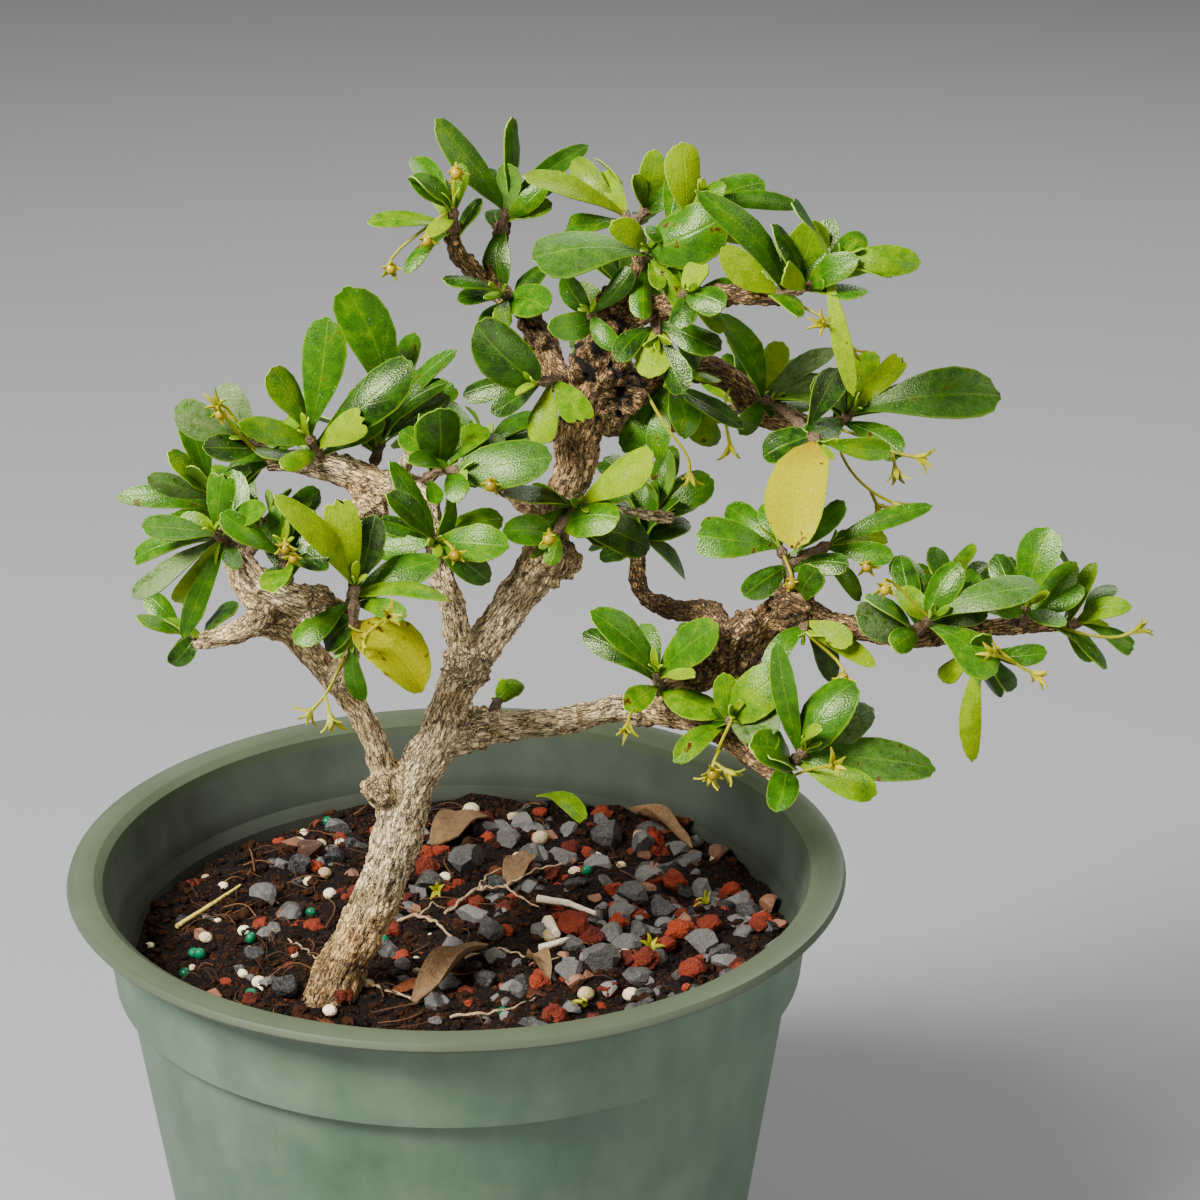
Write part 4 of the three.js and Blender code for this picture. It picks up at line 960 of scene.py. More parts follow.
        up = points[:, 2] / MM
        rightwards = np.clip((points[:, 0] / MM - 32) / 14, 0, 1)
        pale, stubs = on(*PALE_LIMBS), on(*STUBS)
        bleached = np.select(
            [pale | stubs, on("trunk"), on("low_left"), on("low_right")],
            [1.0, np.clip((206 - up) / 36, 0.15, 1.0), 0.6, 0.85 * (1 - rightwards)], 0.18,
        )
        rising = np.where(pale, 0.08, np.clip((up - 168) / 60, 0, 0.72))
        by_limb = np.select(
            [on("low_right", "low_right_fork", "middle_right"), on("far_right"), on("low_left"), on("trunk")],
            [rightwards * 0.55, 0.8, 0.15, np.clip((122 - up) / 22, 0, 0.85)], 0,
        )
        at_burrs = np.clip(warty - 0.5, 0, 0.5) * np.clip((up - 160) / 40, 0.1, 1)
        brown = np.where(stubs, 0, np.maximum.reduce((rising, by_limb, at_burrs)))
        bleached = bleached * np.clip(1 - (brown - 0.1), 0, 1)
        lichen = np.clip(0.38 + 0.4 * (warty - 0.35), 0, 0.7) * np.clip(1.25 - brown, 0.2, 1)
        return np.stack((height, bleached, brown, lichen), 1)


PALE_LIMBS = ("pale_left", "centre_left")
# How many points are measured against the limbs at once
CHUNK = 4000

# Each limb from its root outwards, with its radius at each place
LIMBS: dict[str, tuple[Place, ...]] = {
    "trunk": (
        (-57.5, -92, -25, 7), (-55.6, -85, -25, 6.4), (-54.2, -81, -25, 5.7), (-51, -72.4, -24.5, 5),
        (-47.2, -65, -24, 4.7), (-43.2, -55.4, -23, 4.6), (-40.4, -46, -21.5, 4.9), (-39, -39, -20, 5.3),
        (-35.6, -33, -18.5, 4.5), (-31.8, -26.4, -17, 4.1), (-30.2, -20.8, -15, 3.8),
        (-28.6, -17, -13.5, 4.1), (-26.6, -12.4, -12, 4.1), (-22.4, -7.6, -10, 3.8),
        (-18.4, -2, -8, 3.7), (-14.2, 3.8, -6, 3.9), (-11, 9.6, -5, 3.6), (-8.8, 17, -3.5, 3.6),
        (-5.2, 26.6, -2, 3.9), (-4.4, 32.6, -1, 4.3), (-2, 43, 0, 4.9), (0.2, 48.8, 0.5, 4),
        (2.4, 55.6, 1, 3.8), (6, 60.8, 1.5, 3), (9.2, 66.4, 2, 2.2), (10, 70.6, 2, 1.9),
    ),
    "upper_left": (
        (-3.8, 41, 0, 2.8), (-9.6, 46.4, 4, 2.8), (-11.2, 51, 8, 2.5), (-13.6, 56, 11, 2),
        (-19, 60.4, 13, 1.9), (-23, 63, 14, 1.8), (-26.4, 67, 13, 1.7), (-29, 71, 12, 1.5),
        (-29.6, 75, 12, 1.4),
    ),
    "upper_left_fork": (
        (-22, 61.6, 14, 1.5), (-21, 66, 16, 1.5), (-19.2, 75.6, 20, 1.4),
    ),
    "high_right": (
        (2.4, 56.4, 0, 2.6), (10, 58, -4, 2.4), (18, 60, -9, 2.1), (24.4, 61, -13, 2),
        (31.4, 61.2, -16, 1.9), (36.4, 60.4, -18, 1.6),
    ),
    "middle_right": (
        (-2, 42, 0, 3.4), (4.6, 41.2, 3, 3.3), (9, 43.4, 6, 3.2), (14, 46.4, 10, 3), (21, 46, 12, 2.8),
        (26.4, 43.6, 13, 2.6), (29.8, 40, 13, 2.5), (33, 37.2, 12, 2.4), (38, 36, 10, 2.3),
        (44, 33.8, 7, 2.3), (47, 34.4, 5, 1.9),
    ),
    "low_right": (
        (-32, -29, -17, 3.4), (-24, -26, -15, 3.2), (-16, -25.2, -14, 2.9), (-8, -24.4, -14, 2.7),
        (2.2, -22, -16, 2.8), (12.4, -21.2, -18, 3.1), (14.2, -17.6, -19, 2.9), (20.6, -15, -20, 2.9),
        (25.2, -13.2, -21, 3), (28.8, -9.8, -22, 3.4), (32.2, -5.6, -23, 3.2), (36.2, -2, -24, 3.1),
        (39.6, -1.4, -25, 2.9), (44, -4, -26, 2.4), (53.2, -5.8, -28, 2.1), (64, -7.4, -28, 1.9),
        (75.8, -5.6, -26, 1.8), (84.6, -5.2, -24, 1.7), (92.4, -5, -22, 1.5),
    ),
    "low_right_fork": (
        (10, -21.6, -18, 2.4), (16.4, -23.4, -22, 2.4), (21, -24.8, -26, 2.3), (25.6, -27.2, -29, 2.2),
        (30, -31, -32, 1.9), (33.6, -34, -34, 1.7), (38, -35.4, -36, 1.5),
    ),
    "far_right": (
        (27, -10.6, -21, 2.2), (24.6, -5.4, -12, 2.2), (21.6, -2.2, -2, 2.2), (16.6, -2.2, 8, 2.1),
        (11.8, -0.8, 18, 2), (8.4, 1.8, 26, 1.8), (7.4, 6, 30, 1.7), (8.6, 12, 33, 1.5),
    ),
    "low_left": (
        (-40, -39.6, -20, 3.2), (-43.4, -33.6, -20, 2.7), (-45.2, -28, -21, 2.4), (-48.4, -22, -21, 2.4),
        (-52.6, -16.4, -22, 2.5), (-57.4, -11, -22, 2.5), (-61.8, -6.4, -22, 2.6),
        (-66.8, -3.4, -22, 2.7), (-71, -6.2, -20, 2.3), (-76, -7.4, -17, 2), (-80.6, -8.4, -14, 1.7),
    ),
    "low_left_rise": (
        (-66, -3.6, -22, 2.2), (-70, 0.6, -17, 2), (-73, 6, -10, 1.8), (-75.4, 11.6, -3, 1.6),
        (-76.6, 16, 3, 1.4),
    ),
    "pale_left": (
        (-52.2, -16.6, -22, 2.2), (-50.8, -10.6, -28, 2.2), (-51.4, -4.8, -34, 2.5),
        (-55, -1.8, -37, 2.8), (-59.4, -0.4, -39, 2.9), (-64.4, 1.6, -41, 2.7), (-69, 4, -41, 2.5),
        (-71.8, 7.2, -40, 2.2), (-73.6, 10.6, -38, 1.9), (-75.2, 13, -36, 1.6),
    ),
    "centre_left": (
        (-27.4, -12.8, -12, 2.8), (-28.8, -5, -14, 2.5), (-30.2, 1.6, -15, 2.3), (-32, 7, -15, 2.3),
        (-34, 17, -13, 2.2), (-35.2, 21, -11, 2.3), (-38.4, 23, -9, 2.5), (-42.4, 23, -7, 2.8),
        (-47, 24.2, -5, 3), (-52.4, 26, -4, 3.1), (-57.8, 27.2, -3, 2.6), (-62.8, 27.8, -3, 2),
        (-66.4, 27.4, -3, 1.7),
    ),
    "back_high": (
        (-3.6, 36, 1, 2.4), (-2, 40, 10, 2.2), (2, 45, 20, 2), (6, 51, 29, 1.8), (7.6, 58, 35, 1.6),
    ),
    "back_left": (
        (-9.6, 15, -3, 2.6), (-15, 20, 8, 2.2), (-22, 25, 18, 2), (-30, 30, 26, 1.8), (-38, 34, 31, 1.5),
    ),
    "back_right": (
        (-3.8, 35, 0, 2.4), (3, 35, 10, 2.2), (12, 35, 20, 2), (20, 36, 28, 1.8), (27, 38, 33, 1.5),
    ),
}
# The burrs, each with its radius
BURRS: tuple[Place, ...] = (
    (-43.4, -37.6, -21, 3.4), (-24.4, -25.6, -16.4, 3.6), (-26.6, -13, -13.4, 4.2), (-9, 8.4, -6.4, 4),
    (-0.4, 48, -1.6, 4.4), (3, 55.4, -1, 4.2), (4.8, 41.4, 1, 4), (-46, 22.6, -5.6, 3.4),
    (28.4, -10.4, -22.6, 4), (38.6, -1.4, -25.4, 4), (-56.8, -0.8, -38.4, 3.5), (-66, -3.6, -22.4, 3.4),
    # From here on, those that only the skin has
    (-44, -38, -23, 2.6), (-24, -25, -18, 3.2), (-8.4, 7.2, -7, 3.2), (0.2, 49, -2.6, 3),
    (2.8, 55.8, -2.6, 3.2), (5.2, 41.2, -2, 2.6), (-45.8, 18.6, -8, 2.6), (-38.6, 7.2, -12, 2),
    (0.2, 36.2, -2, 2.6), (3, 60, -2.6, 2.4), (2.4, 46.4, -3.6, 2.8), (5, 52, -2, 2.2), (-12.4, 50.6, 6, 2),
    (-14, 55.4, 9, 1.8), (24, -9, -24, 2.8), (29, -5.4, -26, 2.8), (20, -14, -22, 2.6),
)

# The stumps of pruned branches, pale where they were cut
STUBS: dict[str, tuple[Place, ...]] = {
    "stub_low": ((-56.6, -2, -37, 1.3), (-58.2, -6.2, -43, 1.4)),
    "stub_left": ((-39.4, 24, -10, 1.4), (-38.6, 29, -14, 1.5)),
    "stub_right": ((-6, 19, -4, 1.1), (4, 18, -7, 0.9), (11, 16.8, -8, 1.0), (14.8, 16.6, -9, 1.4)),
}


# The leaves


# Where the rows across a blade lie along it, closer where its outline turns
BLADE_ROWS = (0, 0.12, 0.27, 0.43, 0.59, 0.74, 0.87, 0.955, 1.0)


class BladeForm(Enum):
    """The outlines of the leaves: the width at each row, as a share of the widest."""

    SPOON = (0.1, 0.19, 0.42, 0.71, 0.93, 1.0, 0.88, 0.6, 0.24)
    ELLIPTIC = (0.1, 0.32, 0.64, 0.88, 1.0, 0.95, 0.76, 0.48, 0.18)
    ROUND = (0.14, 0.58, 0.86, 0.98, 1.0, 0.93, 0.75, 0.5, 0.22)
    NOTCHED = (0.1, 0.18, 0.38, 0.65, 0.88, 1.0, 0.97, 0.82, 0.52)
    NARROW = (0.12, 0.36, 0.66, 0.88, 1.0, 0.94, 0.73, 0.44, 0.14)


class Tone(Enum):
    """How young, how golden and how dusty a leaf is, the dust also standing in for a painted sheen."""

    # A painted sheen: a whitish bloom laid on with the dust colour
    SHEEN = (0.42, 0.0, 0.22)
    MATURE = (0.45, 0.0, 0.03)
    DARK = (0.16, 0.0, 0.03)
    BRIGHT = (0.66, 0.02, 0.0)
    YOUNG = (0.9, 0.1, 0.0)
    OLIVE = (0.7, 0.2, 0.12)
    GOLDEN = (1.0, 1.0, 0.0)
    LEMON = (1.0, 0.8, 0.0)
    DUSTY = (0.32, 0.0, 0.8)


TONES = {
    "s": Tone.SHEEN, "m": Tone.MATURE, "d": Tone.DARK, "b": Tone.BRIGHT, "y": Tone.YOUNG, "g": Tone.GOLDEN,
    "p": Tone.DUSTY, "o": Tone.OLIVE, "l": Tone.LEMON,
}


@dataclass(frozen=True)
class Rosette:
    """A twig with the leaves that spring from its end, all as seen from the front, in millimetres.

    Each leaf is its tip's right and up, how far its tip stands behind the twig's end, its width, and its turn
    in degrees where that is known. Tones has a letter for each leaf, and fill is how many more leaves its solid
    has on its far side. More lists the leaves that only the scene adds, and further is how many it adds by rule.
    """

    twig: tuple[Place, ...]
    leaves: tuple[Place, ...]
    tones: str
    fill: int = 0
    more: tuple[Place, ...] = ()
    further: int = 4


@dataclass(frozen=True)
class Leaf:
    """A leaf's root and tip in metres, its width in millimetres, its turn in degrees, and its tone.

    Its upper side faces the way that is given, or else the eye and the sky.
    """

    root: Vector
    tip: Vector
    wide: float
    turn: float
    tone: Tone
    facing: Vector | None = None


@dataclass
class Foliage:
    """All the shoots: knobbly twigs, and leathery leaves bent and turned each in its own way."""

    arch: float = 0.07
    thick: float = 0.38
    spacing: float = 1.3
    young_tones: str = "mbyd"
    fill_tones: str = "mdbms"
    further_tones: str = "mmddbmd"
    roll: float = 28.0
    face_tilt: float = 0.6
    twig_radius: float = 1.05
    twig_end: float = 0.6
    knob_apart: float = 1.3
    young_leaves: int = 3
    models: dict[BladeForm, bpy.types.Object] = field(default_factory=dict)
    finishes: list[bpy.types.Material] = field(default_factory=list)
    twig_finish: bpy.types.Material | None = None

    def build(self) -> None:
        """Makes each shoot as one piece, and the leaf that has fallen from one."""
        self.finishes = [tissue.material() for tissue in LEAF_SIDES]
        self.twig_finish = YOUNG_BARK.material()
        self.models = {form: self.blade(form) for form in BladeForm}
        for index, (name, rosettes) in enumerate(SHOOTS.items()):
            self.shoot(name, rosettes, index + 1)
        self.fallen_leaf()
        discard(self.models.values())

    def fallen_leaf(self) -> None:
        """Lays one fresh leaf on the soil behind the trunk."""
        bed = SoilBed()
        root = (bed.dropped(-12.4, -40.4) + ZENITH * 2) * MM
        tip = (bed.dropped(-3.6, -44.6) + ZENITH * 3) * MM
        fallen = self.leaf(Leaf(root, tip, 4.6, 0.0, Tone.BRIGHT, ZENITH - VIEW_ALONG * 0.5), seeded(12))
        fallen.name = "fallen_green_leaf"
        finish_piece(fallen, "leaf", smooth=None)

    def blade(self, form: BladeForm) -> bpy.types.Object:
        """Models a leaf one unit long and one wide, with walls one unit thick.

        Args:
            form: Its outline.

        Returns:
            The model, which the leaves are copied from.
        """
        rows = len(BLADE_ROWS) - 1
        blade = grid(f"blade_{form.name.lower()}", 4, rows)
        blade.data.uv_layers[0].name = "leaf"
        for row, (share, level) in reversed(list(enumerate(zip(form.value, BLADE_ROWS)))):
            here = row / rows
            edit(
                blade, lambda point, here=here: abs(point.y - here) < 0.001,
                (bpy.ops.transform.resize, {"value": (share, 1, 1), "center_override": (0, here, 0)}),
                (bpy.ops.transform.translate, {"value": (0, level - here, 0)}),
            )
        tip = form.value[-1] / 2
        edit(
            blade, lambda point: point.y > 0.99 and abs(point.x) > tip * 0.9,
            (bpy.ops.transform.translate, {"value": (0, -0.02, 0)}),
        )
        if form is BladeForm.NOTCHED:
            edit(
                blade, lambda point: point.y > 0.99 and tip * 0.25 < abs(point.x) < tip * 0.75,
                (bpy.ops.transform.translate, {"value": (0, -0.05, 0)}),
            )
        for finish in self.finishes:
            blade.data.materials.append(finish)
        apply(blade, "SOLIDIFY", thickness=1.0, offset=-1.0, material_offset=1, material_offset_rim=2)
        pick(blade)
        bpy.ops.object.shade_smooth_by_angle(angle=math.radians(60))
        return blade

    def leaf(self, leaf: Leaf, draw: Draw) -> bpy.types.Object:
        """Copies a blade into place, bent in its own way.

        Args:
            leaf: Where it goes.
            draw: Gives the numbers that its bends come from.

        Returns:
            The leaf.
        """
        along = leaf.tip - leaf.root
        long = along.length
        along.normalize()
        face = leaf.facing or (EYE - leaf.root).normalized() + ZENITH * self.face_tilt
        face = (face - along * face.dot(along)).normalized()
        face = Quaternion(along, math.radians(leaf.turn)) @ face
        side = along.cross(face)
        wide = leaf.wide * MM
        form = self.form_for(long, wide, draw())
        if leaf.tone in (Tone.GOLDEN, Tone.LEMON):
            form = BladeForm.ROUND
        base = points_of(self.models[form])
        across, share, depth = base[:, 0], base[:, 1], base[:, 2]
        cup = draw() * 0.3
        fold = draw() * 0.42
        droop = (draw() - 0.25) * 0.3
        twist = (draw() - 0.5) * 1.1
        sweep = (draw() - 0.5) * 0.13
        wave = draw() * 0.07
        phase = draw() * math.tau
        edge = np.abs(across) * 2
        rise = np.sin(share * math.pi) * long * self.arch - droop * long * share**3
        rise = rise + wide * (fold * edge * 0.5 - cup * edge**2)
        rise = rise + wide * wave * edge**2 * np.sin(share * 11 + phase + np.sign(across) * 0.9)
        turn = twist * (share - 0.4)
        x = across * wide * np.cos(turn) + np.sin(share * math.pi) * sweep * long
        rise = rise + across * wide * np.sin(turn)
        thick = self.thick * (1 - 0.35 * share)
        rise = rise + depth * thick * MM
        placed = np.array(leaf.root) + np.outer(share * long, along) + np.outer(x, side) + np.outer(rise, face)
        copy = copy_at(self.models[form], placed)
        # The dust share also paints the sheen tone's sheen
        youth, gold, dust = leaf.tone.value
        tone = np.array((youth + (draw() - 0.5) * 0.16, gold, dust * (0.6 + draw() * 0.8), draw()))
        paint(copy, "leaf_tone", np.tile(np.clip(tone, 0, 1), (len(placed), 1)))
        return copy

    @staticmethod
    def form_for(long: float, wide: float, chance: float) -> BladeForm:
        """Chooses a leaf's outline.

        Args:
            long: The leaf's length.
            wide: Its width.
            chance: From 0 to 1, which of the likely outlines it is.

        Returns:
            The outline.
        """
        slim = wide / long
        if slim > 0.52:
            return BladeForm.ROUND if chance < 0.8 else BladeForm.ELLIPTIC
        if slim < 0.27:
            return BladeForm.NARROW
        if chance < 0.08:
            return BladeForm.NOTCHED
        return BladeForm.SPOON if chance < 0.62 else BladeForm.ELLIPTIC

    def fill_leaves(self, bud: Vector, count: int, draw: Draw) -> list[tuple[Vector, float]]:
        """Finds places for the leaves that fill a rosette's far side.

        Args:
            bud: The twig's end.
            count: How many they are.
            draw: Gives the numbers that their places come from.

        Returns:
            Each leaf's tip in metres and its width in millimetres.
        """
        found = []
        for index in range(count):
            turn = math.radians(18 + ((index * 137.5 + draw() * 30) % 144))
            rise = 0.1 + draw() * 0.5
            long = 11 + draw() * 5
            way = Vector((math.cos(turn) * math.cos(rise), math.sin(turn) * math.cos(rise), math.sin(rise)))
            found.append((bud + way * (long * MM), long * (0.36 + draw() * 0.1)))
        return found

    @staticmethod
    def along_twig(twig: Sequence[Vector], run: float) -> Vector:
        """Finds a point on a twig.

        Args:
            twig: The places that it passes, in metres.
            run: How far from its end the point is, in metres.

        Returns:
            The point.
        """
        for end, start in zip(reversed(twig), list(reversed(twig))[1:]):
            step = start - end
            if run <= step.length:
                return end + step * (run / step.length)
            run -= step.length
        return twig[0].copy()

    def leaves_of(self, rosette: Rosette, draw: Draw) -> list[Leaf]:
        """Places a rosette's main leaves, as the solids have them.

        Args:
            rosette: The rosette.
            draw: The shoot's own numbers, drawn in the solids' order.

        Returns:
            The leaves, from the twig's end backwards.
        """
        twig = [seen(*place) for place in rosette.twig]
        bud = twig[-1]
        back = rosette.twig[-1][2]
        found = []
        for row, tone in zip(rosette.leaves, rosette.tones):
            roll = (draw() * 2 - 1) * self.roll
            turn = row[4] if len(row) > 4 else roll
            found.append((seen(row[0], row[1], back + row[2]), row[3], turn, TONES[tone]))
        fills = self.fill_leaves(bud, rosette.fill, draw)
        fill_tones = [TONES[letter] for letter in self.fill_tones]
        found += [
            (tip, wide, 0.0, fill_tones[index % len(fill_tones)]) for index, (tip, wide) in enumerate(fills)
        ]
        outward = (bud - twig[-2]).normalized()
        found.sort(key=lambda one: -one[0].dot(outward))
        length = sum((after - before).length for before, after in zip(twig, twig[1:])) / MM
        spacing = min(self.spacing, length * 0.8 / len(found))
        return [
            Leaf(self.along_twig(twig, (0.3 + index * spacing) * MM), tip, wide, turn, tone)
            for index, (tip, wide, turn, tone) in enumerate(found)
        ]

    def more_leaves(self, rosette: Rosette, draw: Draw) -> list[Leaf]:
        """Places the leaves that the solids leave out: the small ones, the young ones and further ones behind.

        Args:
            rosette: The rosette.
            draw: Gives the numbers that their places come from.

        Returns:
            The leaves.
        """
        twig = [seen(*place) for place in rosette.twig]
        bud = twig[-1]
        back = rosette.twig[-1][2]
        found = []
        for row in rosette.more:
            roll = (draw() * 2 - 1) * self.roll
            turn = row[4] if len(row) > 4 else roll
            root = self.along_twig(twig, (0.4 + draw() * 2) * MM)
            tip = seen(row[0], row[1], back + row[2])
            found.append(Leaf(root, tip, row[3], turn, self.any_tone(self.young_tones, draw)))
        outward = (bud - twig[-2]).normalized()
        for index in range(self.young_leaves):
            turn = index * 2.4 + draw()
            lean = 0.25 + draw() * 0.45
            aside = self.aside(outward, turn)
            way = (outward + aside * lean + ZENITH * 0.25).normalized()
            long = 2.4 + draw() * 3.6
            tone = Tone.YOUNG if draw() < 0.5 else Tone.BRIGHT
            wide = long * (0.26 + draw() * 0.1)
            found.append(Leaf(bud, bud + way * (long * MM), wide, 0.0, tone, outward - aside * 0.6))
        for index in range(rosette.further):
            turn = index * 2.4 + draw() * 1.6
            root = self.along_twig(twig, (1.0 + draw() * 9) * MM)
            way = outward * (0.1 + draw() * 0.9) + self.aside(outward, turn) + ZENITH * (draw() * 0.7 - 0.1)
            way.y += 0.5
            long = 8 + draw() * 7
            tone = self.any_tone(self.further_tones, draw)
            tip = root + way.normalized() * (long * MM)
            facing = ZENITH * 0.8 + outward * 0.6 + Vector((draw() - 0.5, draw() - 0.7, draw() - 0.5)) * 0.9
            found.append(Leaf(root, tip, long * (0.36 + draw() * 0.12), 0.0, tone, facing))
        return found

    @staticmethod
    def any_tone(letters: str, draw: Draw) -> Tone:
        """Draws one of the tones that the letters stand for."""
        return TONES[letters[int(draw() * len(letters))]]

    @staticmethod
    def aside(outward: Vector, turn: float) -> Vector:
        """The direction across the twig at that turn, in radians."""
        first = outward.orthogonal().normalized()
        return first * math.cos(turn) + outward.cross(first) * math.sin(turn)

    def shoot(self, name: str, rosettes: Sequence[Rosette], seed: int) -> None:
        """Makes a shoot from its rosettes.

        Args:
            name: The shoot's name.
            rosettes: Its rosettes.
            seed: The number that its solid is drawn with.
        """
        solid_draw = seeded(seed)
        own_draw = seeded(seed + 500)
        parts = []
        for rosette in rosettes:
            leaves = self.leaves_of(rosette, solid_draw) + self.more_leaves(rosette, own_draw)
            parts += [self.leaf(leaf, own_draw) for leaf in leaves]
            parts.append(self.twig(rosette))
        finish_piece(join(parts, name), "leaf", f"shoot_{name}", smooth=None)

    def twig(self, rosette: Rosette) -> bpy.types.Object:
        """Makes a rosette's knobbly twig.

        Args:
            rosette: The rosette.

        Returns:
            The twig.
        """
        places = [seen(*place) for place in rosette.twig]
        fine = []
        for start, end in zip(places, places[1:]):
            count = max(2, round((end - start).length / (self.knob_apart * MM)))
            fine += [start + (end - start) * (index / count) for index in range(count)]
        fine.append(places[-1])
        radii = [
            (self.twig_radius + 0.28 * math.sin(index * 2.4) + 0.12 * math.sin(index * 5.1)) * MM
            for index in range(len(fine))
        ]
        radii[-1] = self.twig_end * MM
        twig = wire(fine, radii, "twig", sides=1)
        dress(twig, self.twig_finish)
        pick(twig)
        bpy.ops.object.shade_smooth_by_angle(angle=math.radians(50))
        paint(twig, "shade", 0.35)
        return twig
